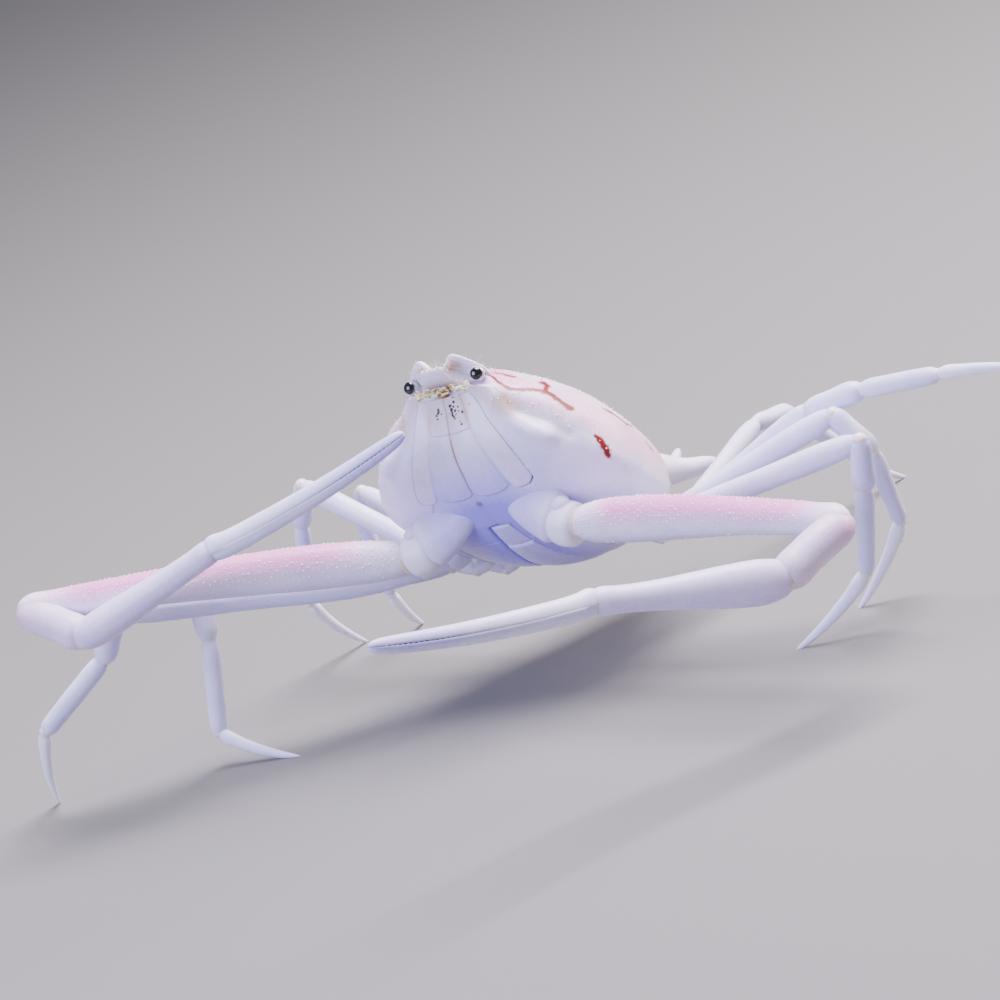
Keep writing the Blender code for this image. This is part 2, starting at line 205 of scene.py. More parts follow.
def finishPiece(name, bm, material, node="", inBody=False):
    place = Matrix.Scale(mm, 4) @ (bodyMatrix if inBody else Matrix.Identity(4))
    bmesh.ops.transform(bm, matrix=place, verts=bm.verts)
    piece = meshObject(name, bm, material)
    piece.data.shade_smooth()
    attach(piece, "root")
    if node:
        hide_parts(node)


# Materials
def feed(tree, socket, value):  # a number, a colour such as "#ffffff", or another node's output
    if isinstance(value, bpy.types.NodeSocket):
        tree.links.new(value, socket)
    else:
        socket.default_value = toLinear(value) if isinstance(value, str) else value


def addNode(tree, kind, inputs=None, **props):
    node = tree.nodes.new("ShaderNode" + kind)
    for key, value in props.items():
        setattr(node, key, value)
    for key, value in (inputs or {}).items():
        feed(tree, node.inputs[key], value)
    return node


def newMaterial(name, values):
    made = bpy.data.materials.new(name)
    made.use_nodes = True
    tree = made.node_tree
    shader = tree.nodes["Principled BSDF"]
    for key, value in values.items():
        feed(tree, shader.inputs[key], value)
    return made, tree, shader


def objectPlace(tree):
    return addNode(tree, "TexCoord").outputs["Object"]


def addNoise(tree, size, detail=2.0, roughness=0.5):  # size in millimetres
    inputs = {"Scale": 1 / (size * mm), "Detail": detail, "Roughness": roughness, "Vector": objectPlace(tree)}
    return addNode(tree, "TexNoise", inputs).outputs["Fac"]


def addCells(tree, size):  # height over cells of a size in millimetres
    inputs = {"Scale": 1 / (size * mm), "Vector": objectPlace(tree)}
    return addNode(tree, "TexVoronoi", inputs).outputs["Distance"]


def addMath(tree, operation, *values, clamp=False):
    return addNode(tree, "Math", dict(enumerate(values)), operation=operation, use_clamp=clamp).outputs[0]


def addRange(tree, value, low, high, newLow=0.0, newHigh=1.0):
    inputs = {"Value": value, "From Min": low, "From Max": high, "To Min": newLow, "To Max": newHigh}
    return addNode(tree, "MapRange", inputs).outputs["Result"]


def mixColour(tree, amount, first, second):
    return addNode(tree, "Mix", {0: amount, 6: first, 7: second}, data_type="RGBA").outputs[2]


def addBump(tree, shader, height, strength, depth):  # depth in millimetres
    inputs = {"Height": height, "Strength": strength, "Distance": depth * mm}
    feed(tree, shader.inputs["Normal"], addNode(tree, "Bump", inputs).outputs["Normal"])


def softValues(roughness, glow, depth, film):
    # Depth is how far light goes in, in millimetres, and film the wet coat's strength.
    values = {"Roughness": roughness, "Subsurface Weight": glow, "Coat Weight": film}
    return dict(values, **{"Subsurface Scale": depth * mm})


def cuticleMaterial(name, look):
    # Limy crab cuticle, like unglazed porcelain under a thin wet film: white, a little translucent,
    # with soft clouds of colour under a satin surface that has pits a sixth of a millimetre apart.
    values = {
        "IOR": 1.5,
        "Subsurface Radius": (1.0, 0.72, 0.62),
        "Coat Roughness": 0.22,
        "Specular IOR Level": 0.3,
    }
    values.update(softValues(look["roughness"], look["glow"], 0.9, look["film"]))
    made, tree, shader = newMaterial(name, values)
    tint = addNode(tree, "Attribute", attribute_name="tint")
    masks = addNode(tree, "SeparateColor", {"Color": tint.outputs["Color"]})
    clouds = addNoise(tree, look["cloudMm"], 4.0, 0.6)
    grain = addNoise(tree, look["grainMm"], 3.0, 0.55)
    colour = mixColour(tree, addRange(tree, clouds, 0.35, 0.68), look["base"], look["shade"])
    uneven = addMath(tree, "MULTIPLY_ADD", grain, 0.5, -0.3)
    # The blue mask mixes in the violet colour: partly the cuticle's own lavender, partly painted bluish shade
    # on undersides and lower sides.
    for key, mask in (("flush", "Red"), ("warm", "Green"), ("lavenderAndShade", "Blue")):
        strength = addMath(tree, "MULTIPLY_ADD", masks.outputs[mask], 1.25, uneven)
        amount = addMath(tree, "MULTIPLY", strength, masks.outputs[mask], clamp=True)
        colour = mixColour(tree, amount, colour, look[key])
    broken = addMath(tree, "MULTIPLY_ADD", grain, 0.6, tint.outputs["Alpha"])
    blotch = addRange(tree, addMath(tree, "ADD", broken, -0.28), 0.16, 0.78)
    feed(tree, shader.inputs["Base Color"], mixColour(tree, blotch, colour, look["mark"]))
    rough = addRange(tree, grain, 0.3, 0.7, look["roughness"] - 0.07, look["roughness"] + 0.1)
    feed(tree, shader.inputs["Roughness"], rough)
    height = addMath(tree, "MULTIPLY_ADD", addCells(tree, look["pitMm"]), 0.5, clouds)
    addBump(tree, shader, height, look["relief"], 0.12)
    return made


# The lilac of base and shade is a painted cast of bluish light on a whitish shell; the violet of the blue
# mask is lavender tone mixed with painted bluish shade.
whiteShell = {
    "base": "#f1ebfb",
    "shade": "#e5dbf3",
    "flush": "#e89cc2",
    "warm": "#c49a55",
    "lavenderAndShade": "#9a8ff2",
    "mark": "#7c1718",
    "cloudMm": 3.5,
    "grainMm": 0.45,
    "pitMm": 0.16,
    "roughness": 0.38,
    "relief": 0.25,
    "glow": 0.14,
    "film": 0.1,
}
smoothPlate = dict(whiteShell, mark="#050406", relief=0.15, cloudMm=2.5, glow=0.04)
flushedArm = dict(whiteShell, flush="#e88cc4", relief=0.3)
# The thin legs' lilac base and shade are likewise a painted cast of bluish light.
thinLeg = dict(whiteShell, base="#ebebfd", shade="#e1dff7", glow=0.3, film=0.15, relief=0.15)
shellMaterial = cuticleMaterial("limyShellCuticle", whiteShell)
plateMaterial = cuticleMaterial("smoothPlateCuticle", smoothPlate)
armMaterial = cuticleMaterial("flushedArmCuticle", flushedArm)
legMaterial = cuticleMaterial("thinLegCuticle", thinLeg)


def mottledMaterial(name, dark, light, size, detail, values, wrinkle=0.0):
    made, tree, shader = newMaterial(name, values)
    spots = addNoise(tree, size, detail)
    feed(tree, shader.inputs["Base Color"], mixColour(tree, spots, dark, light))
    if wrinkle:
        addBump(tree, shader, spots, wrinkle, 0.15)
    return made


def feelerMaterial():
    # The folded feelers and the soft pocket behind them: yellow to brown, wet.
    made, tree, shader = newMaterial("yellowFeelerSkin", softValues(0.28, 0.2, 0.4, 0.5))
    ramp = addNode(tree, "ValToRGB", {"Fac": addNoise(tree, 0.4, 3.0)})
    stops = ramp.color_ramp.elements
    stops[0].position, stops[0].color = 0.33, toLinear("#7a4d22")
    stops[1].position, stops[1].color = 0.55, toLinear("#efeac6")
    stops.new(0.42).color = toLinear("#d9c765")
    feed(tree, shader.inputs["Base Color"], ramp.outputs["Color"])
    return made


def eyeMaterial():
    # Faceted cornea seen through a clear wet film: ink black in the middle, breaking into dark specks
    # on a grey-white ball, with facets about 0.05 mm across.
    values = {"Roughness": 0.12, "IOR": 1.42, "Coat Weight": 1.0, "Coat Roughness": 0.03}
    made, tree, shader = newMaterial("wetEyeBall", values)
    tint = addNode(tree, "Attribute", attribute_name="tint")
    specks = addNoise(tree, 0.14)
    edge = addMath(tree, "MULTIPLY_ADD", specks, 0.8, tint.outputs["Alpha"])
    rim = mixColour(tree, specks, "#8f99ab", "#eef0f4")
    colour = mixColour(tree, addRange(tree, edge, 0.72, 1.02), rim, "#06070b")
    feed(tree, shader.inputs["Base Color"], colour)
    addBump(tree, shader, addCells(tree, 0.05), 0.12, 0.02)
    return made


# Pearly grains of the same lime, without pits and a little glossier than the shell between them.
pearl = mottledMaterial("pearlyGrains", "#fbf6fa", "#f3e8ee", 0.8, 2.0, softValues(0.32, 0.2, 0.4, 0.3))
# Soft joint skin: thin wet leather, wrinkled at about a third of a millimetre.
skinColours = {
    "beigeJointSkin": ("#c8ab92", "#ecdcd0"),
    "paleJointSkin": ("#ddd0cc", "#f0e9ec"),
    "brownPocketSkin": ("#6b3a1c", "#c98f52"),
}
clawSkin, legSkin, pocketSkin = (
    mottledMaterial(name, dark, light, 0.35, 4.0, softValues(0.38, 0.3, 0.6, 0.3), 0.6)
    for name, (dark, light) in skinColours.items()
)
# Fine stiff bristles of clear horn, straw-coloured.
bristle = mottledMaterial("strawBristles", "#c9ad7c", "#efe4cd", 0.5, 2.0, {"Roughness": 0.35})
feelerSkin = feelerMaterial()
wetEye = eyeMaterial()
print("materials made")

# Shell
carapaceLook = {
    "x": (-15.8, -14.8, -12.5, -9.0, -5.0, 0.0, 5.0, 9.0, 11.4, 12.6, 13.6, 14.8),
    "halfWidth": (2.2, 3.2, 5.2, 7.7, 10.6, 12.4, 12.4, 9.2, 5.3, 4.2, 3.3, 2.2),
    "margin": (1.6, 1.4, 0.4, -1.3, -2.9, -3.8, -3.8, -2.0, -0.1, 1.0, 1.9, 2.3),
    "top": (2.2, 2.8, 3.3, 3.6, 3.9, 4.2, 4.5, 4.1, 3.6, 3.2, 2.8, 2.5),
    "under": (0.6, -0.6, -3.4, -6.4, -8.4, -8.9, -7.9, -5.7, -2.9, 0.0, 1.2, 1.9),
    "around": 310,
    "along": 236,
    "lobe": ((10.9, 5.6, -1.6), (10.35, 6.5, -2.15), (9.7, 7.55, -2.8), (9.15, 8.4, -3.25)),
    "valley": ((11.3, 5.5, -0.1), (10.7, 6.4, -0.85), (9.9, 7.7, -1.6), (9.1, 8.9, -2.2), (8.2, 10.0, -2.9)),
    "shelf": ((11.2, 5.4, 0.3), (9.6, 8.0, 0.0), (7.6, 10.3, -1.4)),
    "cheek": ((12.7, 3.1, 0.8), (11.9, 4.0, -0.2), (10.9, 5.2, -1.2)),
    "groove": ((7.5, 3.2, 0), (3.5, 3.4, 0), (-1.5, 2.6, 0), (-6.0, 3.2, 0), (-10.5, 3.0, 0)),
    "cheekWidth": ((12.0, 12.45, 13.0, 13.6, 14.8), (4.5, 2.7, 2.05, 1.6, 1.15)),
    "roundEnds": ((1, 14.2, 0.62), (-1, -15.1, 0.72)),  # which way, where the rounding starts, its length
    "markBoost": 1.35,
    # The brow: its free edge from the notch over the tooth's tip to the back of the eye, and its root.
    "browEdge": (
        (13.95, 0.6, 2.4), (14.15, 1.05, 2.85), (14.45, 1.65, 3.42), (14.3, 2.2, 3.34), (13.8, 2.85, 3.1),
        (13.15, 3.5, 2.84), (12.5, 3.95, 2.58), (11.8, 4.25, 2.05),
    ),
    "browRoot": (
        (12.9, 0.4, 2.3), (12.9, 0.9, 2.4), (12.7, 1.3, 2.5), (12.5, 1.7, 2.5), (12.2, 2.0, 2.4),
        (11.8, 2.4, 2.3), (11.5, 2.9, 2.2), (11.2, 3.4, 1.9),
    ),
}
eyeLook = {"centre": (12.85, 3.5, 2.0), "radius": 0.68}
breastLook = {
    "x": (-12.5, -9.0, -4.0, 2.0, 4.5, 6.3, 7.4, 8.3),
    "outer": (4.4, 5.6, 6.5, 6.9, 6.5, 5.6, 4.8, 4.2),
}
mouthLook = {
    "x": (6.2, 7.3, 8.2, 9.1, 10.0, 10.7, 11.7, 12.0, 12.4, 12.8),
    "outer": (6.35, 6.2, 5.95, 5.6, 5.1, 4.6, 3.7, 3.45, 3.05, 2.65),
    "groove": (4.4, 4.05, 3.75, 3.45, 3.1, 2.75, 2.12, 1.98, 1.83, 1.75),
    "footX": 7.4,
    "topX": 12.88,
}


def onSide(line, side):  # the left side's points, moved to the side asked for
    return np.array(line) * [1, side, 1]


def station(look, key, x):  # one of a look's curves, read at x
    return smoothThrough(look["x"], look[key], x)


def shellPoints(look, directions):
    low, high = look["x"][0], look["x"][-1]
    x = 0.5 * (low + high) + 0.5 * (high - low) * directions[:, 0]
    across = np.maximum(np.hypot(directions[:, 1], directions[:, 2]), 1e-9)
    y, z = directions[:, 1] / across, directions[:, 2] / across
    pole = across < 1e-4
    y[pole] = 0
    z[pole] = 0
    margin = station(look, "margin", x)
    ends = 1.0
    for side, start, length in look["roundEnds"]:
        ends = ends * np.sqrt(np.clip(1 - np.clip(side * (x - start) / length, 0, 1) ** 2, 0, 1))
    edge = np.where(z > 0, station(look, "top", x), station(look, "under", x))
    halfWidth = station(look, "halfWidth", x)
    return np.stack([x, halfWidth * y * ends, margin + np.abs(edge - margin) * z * ends], 1)


def undersideAt(x, y):  # height of the shell's lower surface over a place
    x = np.asarray(x, float)
    margin = station(carapaceLook, "margin", x)
    depth = margin - station(carapaceLook, "under", x)
    return margin - depth * np.sqrt(np.clip(1 - (y / station(carapaceLook, "halfWidth", x)) ** 2, 0.02, 1))


def undersideNormal(x, y):
    step = 0.05
    slopeX = (undersideAt(x + step, y) - undersideAt(x - step, y)) / (2 * step)
    slopeY = (undersideAt(x, y + step) - undersideAt(x, y - step)) / (2 * step)
    return unitRows(np.stack([slopeX, slopeY, -np.ones_like(slopeX)], 1))


def swell(points, centre, reach, push, power=1.0):
    away = (((points - np.array(centre)) / np.array(reach)) ** 2).sum(1)
    return points + np.exp(-(away**power))[:, None] * np.array(push)


def buildCarapace(look):
    bm = newShape()
    verts = addBall(bm, look["around"], look["along"])
    points = shellPoints(look, unitRows(readPoints(verts)[:, [2, 0, 1]]))
    writePoints(verts, points)
    normals = readNormals(bm, verts)
    base = points.copy()
    x, y, z = base.T
    margin = station(look, "margin", x)
    upper = smoothStep(-0.4, 0.5, z - margin)
    for side in (1, -1):
        points = swell(points, (10.9, side * 3.9, 3.2), (1.7, 1.2, 1.5), (0.0, 0.0, 0.12))
        # The long bulge on the cheek below the side margin.
        ridge = lineDistance(base, onSide(look["lobe"], side))
        valley = lineDistance(base, onSide(look["valley"], side))
        shelf = lineDistance(base, onSide(look["shelf"], side))
        thick = 0.55 + 0.3 * smoothStep(10.8, 9.2, x)
        lobe = 0.72 * bell(ridge, thick, 2.8) * (0.1 + 0.9 * smoothStep(11.0, 9.5, x))
        lobe += 0.25 * bell(shelf, 1.15) - 0.2 * bell(valley, 0.55)
        points += normals * lobe[:, None]
        # Shallow grooves that set the heart and gut regions off from the gill chambers.
        groove = lineDistance(points * [1, 1, 0], onSide(look["groove"], side))
        points -= normals * (0.2 * bell(groove, 0.7) * upper)[:, None]
    points = swell(points, (-12.8, 0, 3.4), (1.8, 2.0, 1.5), (0, 0, 0.55))
    # The cheeks are cut away below the brow, so that the eyes stand clear.
    wide = np.interp(x, *look["cheekWidth"])
    cut = smoothStep(11.95, 12.35, x) * smoothStep(2.7, 2.45, points[:, 2])
    cut *= np.maximum(smoothStep(0.95, 1.2, points[:, 2]), smoothStep(13.0, 13.4, x))
    points[:, 1] -= np.sign(points[:, 1]) * cut * np.maximum(np.abs(points[:, 1]) - wide, 0)
    # The pocket for the folded feelers, above the mouth.
    points = swell(points, (13.6, 0, 0.85), (0.8, 2.0, 0.5), (-0.55, 0, 0.25), 1.5)
    # Room for the mouth plates, the breastplate and the tail flap.
    y = np.abs(y)
    outer = np.interp(x, mouthLook["x"], mouthLook["outer"])
    below = smoothStep(0.2, -0.2, z - margin + 0.25)
    mouth = smoothStep(outer + 0.1, outer - 0.12, y) * smoothStep(12.85, 12.65, x)
    foot = mouthLook["footX"] + 0.45 * np.abs(np.clip((y - 4.05) / 1.075, 0, 2) - 1) ** 3 * (y > 4.05)
    mouth *= smoothStep(foot - 0.12, foot + 0.05, x) * below
    points -= normals * (0.75 * mouth)[:, None]
    breastEdge = np.interp(x, breastLook["x"], breastLook["outer"])
    breast = smoothStep(breastEdge - 0.1, breastEdge - 0.4, y)
    breast *= smoothStep(8.2, 8.0, x) * smoothStep(-15.2, -14.8, x)
    breast *= smoothStep(-5.0, -5.4, z) + smoothStep(3.6, 3.4, y) * smoothStep(-10, -11, x)
    points -= normals * (0.8 * np.clip(breast * below, 0, 1) * (1 - mouth))[:, None]
    writePoints(verts, points)

    # Colour: pink flush along the margins and behind the eyes, red-brown lines and blotches, lavender
    # deepening into painted bluish shade underneath, warm edges at the mouth, and beige eye sockets deepened
    # with painted brown shade.
    flush = (0.36 + 0.38 * bell(z - margin - 2.6, 2.2)) * smoothStep(-13, -4, x) * upper
    flush += 0.16 * smoothStep(-3.5, 0.0, z - margin) * (1 - upper)
    flush += 0.3 * bell(np.linalg.norm((base - [10.6, 0, 2.6]) / [2.8, 6.0, 2.0], axis=1), 1)
    flush *= smoothStep(13.7, 12.4, x)
    # Painted bluish shade: the lavender deepens further below the side margin.
    lavenderAndShade = (0.34 + 0.36 * smoothStep(-0.5, -5.0, z - margin)) * smoothStep(-14, -4, x) * (1 - upper)
    warm = 0.4 * bell(lineDistance(base, [(13.6, -1.6, 0.8), (13.6, 1.6, 0.8)]), 0.7)
    warm += 0.42 * smoothStep(12.7, 13.7, x)
    mark = np.zeros(len(base))
    wander = 0.045 * np.sin(base[:, [1, 2, 0]] * 6.1 + 1.0) + 0.03 * np.sin(base[:, [2, 0, 1]] * 13.7)
    for side in (1, -1):
        # Warm beige in the socket hollow, deepened there as painted brown shade.
        socket = np.linalg.norm(points - np.array([14.2, side * 1.75, 2.35]), axis=1)
        warm += 0.6 * bell(socket, 0.42)
        warm += 0.6 * bell(lineDistance(base, onSide(look["cheek"], side)), 1.1)
        warm += 0.5 * bell(lineDistance(base, onSide(look["valley"], side)), 0.75)
        for line, width, strength in shellMarks:
            away = lineDistance(base + wander, onSide(line, side), normals)
            mark = np.maximum(mark, np.clip(look["markBoost"] * strength * bell(away, width), 0, 1))
    paint(bm, verts, flush, warm, lavenderAndShade, mark)
    growSpine(bm, spineLines["middle"])
    for side in (1, -1):
        growSpine(bm, [(x, side * y, z, radius) for x, y, z, radius in spineLines["side"]])
    for side in (1, -1):
        growBrow(bm, look, side)
    finishPiece("carapaceShell", bm, shellMaterial, "carapace", inBody=True)


# Red-brown lines and blotches on each side: their places, half widths and strengths.
shellMarks = (
    (((11.75, 4.1, 2.1), (11.5, 4.7, 1.5), (11.2, 5.3, 0.95), (10.95, 5.65, 0.75)), 0.19, 0.8),
    (((10.95, 5.65, 0.75), (10.2, 6.6, 0.8), (9.5, 7.65, 0.8)), 0.2, 0.9),
    (
        ((9.5, 7.65, 0.8), (9.2, 8.15, 0.65), (8.9, 8.6, 0.3), (8.5, 9.35, -0.35), (8.05, 9.95, -0.8)),
        0.24, 1.0,
    ),
    (((8.45, 7.2, 2.1), (8.75, 7.75, 1.5), (9.15, 8.0, 0.8)), 0.24, 0.8),
    (((8.9, 7.2, 1.9), (8.45, 7.7, 1.7)), 0.22, 0.75),
    (((10.7, 4.4, 2.6), (10.1, 5.3, 2.25)), 0.22, 0.6),
    (((11.3, 4.0, 2.6), (10.9, 4.3, 2.55)), 0.16, 0.6),
    (((6.5, 11.55, -2.85), (6.15, 11.8, -3.2)), 0.2, 0.8),
    (((6.2, 11.75, -3.1), (5.9, 11.95, -3.5), (5.55, 12.1, -3.95)), 0.3, 0.95),
    (((5.7, 12.05, -3.8), (5.35, 12.15, -4.25)), 0.28, 0.85),
    (((4.6, 11.0, 0.6), (3.4, 11.25, 0.2), (2.4, 11.4, -0.2)), 0.2, 0.85),
    (((2.4, 11.4, -0.2), (1.4, 11.1, 0.0), (0.4, 10.8, 0.2)), 0.17, 0.65),
    (((-0.5, 11.5, -1.0), (-1.4, 11.4, -1.4)), 0.2, 0.55),
    (((6.8, 8.8, 2.2), (6.0, 9.2, 2.0)), 0.2, 0.45),
)
# The rear spines: each a line of points with its radius there. The side one is the left one.
spineLines = {
    "middle": (
        (-13.6, 0, 2.8, 2.2), (-15.6, 0, 3.1, 1.5), (-17.6, 0, 3.8, 1.02), (-19.4, 0, 5.2, 0.72),
        (-20.35, 0, 7.6, 0.42),
    ),
    "side": (
        (-12.2, 1.9, 2.2, 2.2), (-14.2, 3.0, 2.8, 1.5), (-16.0, 4.15, 3.4, 0.98), (-17.5, 5.1, 4.2, 0.72),
        (-18.6, 5.75, 4.85, 0.38),
    ),
}


def ringOf(local):  # a ball's distance from its axis, kept above zero at its poles
    return np.maximum(np.hypot(local[:, 0], local[:, 1]), 1e-6)


def bluntEnds(local, power):
    return np.sqrt(np.clip(1 - np.abs(local[:, 2]) ** power, 0, 1))


def growSpine(bm, line):  # a curved spine with a flared root, sunk into the shell
    made = addBall(bm, 40, 48)
    local = readPoints(made)
    line = np.array(line)
    t = np.clip((local[:, 2] + 1) / 2, 0, 1)
    step = 0.03
    axis = unitRows(alongLine(line, np.clip(t + step, 0, 1)) - alongLine(line, np.clip(t - step, 0, 1)))
    across = unit(np.cross(line[-1, :3] - line[0, :3], (0, 0, 1)))
    rise = np.cross(axis, across)
    radius = smoothThrough(np.linspace(0, 1, len(line)), line[:, 3], t) * bluntEnds(local, 9)
    dx, dy = (local[:, k] / ringOf(local) * radius for k in (0, 1))
    writePoints(made, alongLine(line, t) + across * dx[:, None] + rise * dy[:, None])
    paint(bm, made, flush=0.25 * t, lavenderAndShade=0.15)


def growBrow(bm, look, side):  # the cupped blade that stands up as a tooth and roofs the eye
    made = addSlab(bm, 44)
    local = readPoints(made)
    u, v, w = local[:, 0] + 0.5, local[:, 1] + 0.5, local[:, 2] * 2
    edge, root = np.array(look["browEdge"], float), np.array(look["browRoot"], float)
    step = 0.01

    def spread(u, v):
        a, b = alongLine(edge, u), alongLine(root, u)
        cup = 0.22 * np.sin(math.pi * np.clip(v * 1.6, 0, 1)) * np.sin(math.pi * u)
        return a + (b - a) * v[:, None] + np.array([0.0, -0.35, 0.9]) * cup[:, None]

    alongU = spread(np.clip(u + step, 0, 1), v) - spread(np.clip(u - step, 0, 1), v)
    alongV = spread(u, np.clip(v + step, 0, 1)) - spread(u, np.clip(v - step, 0, 1))
    normal = np.cross(alongU, alongV)
    normal /= np.maximum(np.linalg.norm(normal, axis=1), 1e-9)[:, None]
    half = (0.15 + 0.3 * v) * np.sqrt(np.clip(1 - (1 - np.clip(v / 0.14, 0, 1)) ** 2, 0.02, 1))
    points = spread(u, v) + normal * (w * half)[:, None]
    points[:, 1] *= side
    writePoints(made, points)
    # The hollow side of the blade is warmed: partly its own beige, partly painted brown shade inside the
    # hollow.
    hollow = smoothStep(0.15, 0.35, v) * (w < 0)
    paint(bm, made, 0.12, 0.75 * hollow * smoothStep(0.75, 0.4, u), 0.1)
    if side < 0:
        turnOver(bm, made)


buildCarapace(carapaceLook)
print("shell built")


# Underside plates
def addPlate(bm, xRange, inner, outer, lift, crown, edge=0.12, cuts=48, thick=0.9, corner=0.0):
    # A crowned plate on the shell's underside, between two curves given over x. Its rear corners can
    # be drawn in.
    made = addSlab(bm, cuts)
    local = readPoints(made)
    u, v, above = local[:, 0] + 0.5, local[:, 1] + 0.5, local[:, 2] > 0
    drawn = corner * np.abs(2 * v - 1) ** 3
    x = (xRange[0] + drawn) * (1 - u) + xRange[1] * u
    y = inner(x) + (outer(x) - inner(x)) * v
    fromSide = np.minimum(v, 1 - v) * np.abs(outer(x) - inner(x))
    fromEnd = np.minimum(u, 1 - u) * abs(xRange[1] - xRange[0])
    rounding = np.minimum(np.clip(fromSide / edge, 0, 1), np.clip(fromEnd / edge, 0, 1))
    drop = edge * (1 - np.sqrt(np.clip(1 - (1 - rounding) ** 2, 0, 1)))
    height = np.where(above, lift + crown * (1 - (2 * v - 1) ** 2) - drop, lift - thick)
    base = np.stack([x, y, undersideAt(x, y)], 1)
    writePoints(made, base + undersideNormal(x, y) * height[:, None])
    if outer(x).mean() > inner(x).mean():
        turnOver(bm, made)


def mouthPlates(side, sideName):
    bm = newShape()
    foot, top = mouthLook["footX"], mouthLook["topX"]

    def middle(x):
        return side * (0.012 + 0 * x)

    def groove(x):
        return side * station(mouthLook, "groove", x)

    def outer(x):
        return side * (station(mouthLook, "outer", x) + 0.03)

    def outside(x):
        return groove(x) - side * 0.05

    addPlate(bm, (foot + 0.2, 11.62), middle, groove, 0.02, 0.14, edge=0.03, cuts=56, corner=0.35)
    addPlate(bm, (11.6, top), middle, groove, 0.03, 0.16, edge=0.035, cuts=56)
    addPlate(bm, (foot, top - 0.06), outside, outer, -0.02, 0.1, edge=0.03, cuts=56, corner=0.5)
    verts = list(bm.verts)
    points = readPoints(verts)
    x, y = points[:, 0], np.abs(points[:, 1])
    pastGroove = y - np.interp(x, mouthLook["x"], mouthLook["groove"])
    warm = 0.6 * smoothStep(11.4, 12.3, x) * smoothStep(3.6, 1.8, y)
    warm += 0.95 * bell(y, 0.16) * smoothStep(12.4, 11.0, x)
    # Beige along the seam between inner and outer plates: painted soft shadow in the seam.
    warm += 0.34 * bell(pastGroove, 0.26) * smoothStep(7.5, 9.5, x) * smoothStep(12.6, 11.8, x)
    warm += 0.26 * smoothStep(0.2, 1.2, pastGroove) * smoothStep(12, 10, x)
    # Lavender that deepens towards the plates' lower ends: painted bluish shade.
    lavenderAndShade = (0.36 + 0.44 * smoothStep(11.9, 7.6, x)) * (1 - 0.25 * smoothStep(11.8, 12.8, x))
    mark = np.zeros(len(points))
    rng = np.random.default_rng(mouthSpots["seed"] + side)
    for spotX, spotY, reach in mouthSpots[sideName]:
        for part in range(2):  # each speck is a small cluster
            offset = rng.normal(0, 0.75 * reach, 2) if part else np.zeros(2)
            size = reach * (0.68 if part == 0 else rng.uniform(0.3, 0.5))
            spot = np.array([spotX, side * spotY]) + offset
            away = points - np.append(spot, undersideAt(spot[0], spot[1]))
            away -= undersideNormal(spot[:1], spot[1:]) * 0.17
            mark = np.maximum(mark, bell(np.linalg.norm(away, axis=1), size, 4))
    outerPlate = smoothStep(0.05, 0.4, pastGroove)
    paint(bm, verts, 0.3 * outerPlate * smoothStep(12.5, 9, x), warm, lavenderAndShade * (1 - 0.35 * outerPlate), mark)
    name = "mouthPlates" + sideName.capitalize()
    finishPiece(name, bm, plateMaterial, "maxilliped_" + sideName, inBody=True)


# Black specks on the upper ends of the mouth plates: place forward, place outward, radius.
mouthSpots = {
    "seed": 23,
    "left": (
        (12.6, 1.07, 0.2), (12.48, 0.63, 0.19), (12.42, 0.97, 0.16), (12.37, 1.4, 0.16), (12.33, 0.72, 0.26),
        (12.22, 0.76, 0.18), (12.27, 1.07, 0.18), (12.15, 0.75, 0.2), (12.09, 0.86, 0.18),
        (12.16, 1.73, 0.22), (12.03, 0.95, 0.14), (12.48, 2.14, 0.16), (12.31, 2.48, 0.2),
        (11.76, 2.06, 0.13), (11.9, 1.4, 0.1),
    ),
    "right": (
        (12.43, 0.65, 0.2), (12.36, 0.63, 0.2), (12.3, 0.74, 0.2), (12.24, 0.95, 0.17), (12.12, 0.84, 0.14),
        (12.4, 2.5, 0.15), (12.3, 2.75, 0.17), (12.13, 2.4, 0.12),
    ),
}
for side, sideName in bothSides:
    mouthPlates(side, sideName)


# The tail flap lies in the middle of the breastplate: its half width falls off towards the front.
flapLook = {
    "x": (-14.7, 4.2),
    "flap": (3.35, 1.0),
    "slot": (3.45, 1.15),
    "cuts": (4.1, 1.2, -8.6, -11.6, -14.6),
}


def breastPlates():
    bm = newShape()
    bands = ((8.3, 2.0), (2.02, -1.75), (-1.73, -5.15), (-5.13, -8.65), (-8.63, -12.2))
    for front, rear in bands:
        for side in (1, -1):
            def flapEdge(x, side=side):
                beside = np.interp(x, flapLook["x"], flapLook["slot"]) + 0.04
                return side * ((beside + 0.2) * smoothStep(4.5, 4.15, x) - 0.2)

            def limbEdge(x, side=side):
                return side * np.interp(x, breastLook["x"], breastLook["outer"])

            addPlate(bm, (rear, front), flapEdge, limbEdge, -0.1, 0.12, edge=0.09, cuts=40)
    verts = list(bm.verts)
    points = readPoints(verts)
    x, y = points[:, 0], np.abs(points[:, 1])
    mark = 0.5 * np.exp(-(((x - 6.85) / 0.32) ** 2 + ((y - 0.1) / 0.32) ** 2))
    # Lavender deepened into painted bluish shade over the breastplate, strongest along its middle.
    lavenderAndShade = 0.5 * smoothStep(-14, -4, x) + 0.4 * smoothStep(9.5, 5.5, x) * smoothStep(7.5, 1.0, y)
    lavenderAndShade += 0.1 * smoothStep(-6, 2, x)
    paint(bm, verts, 0.12 * np.exp(-(((x - 5.5) / 1.5) ** 2 + (y / 1.2) ** 2)), 0.0, lavenderAndShade, mark)
    finishPiece("breastPlates", bm, shellMaterial, "sternum", inBody=True)


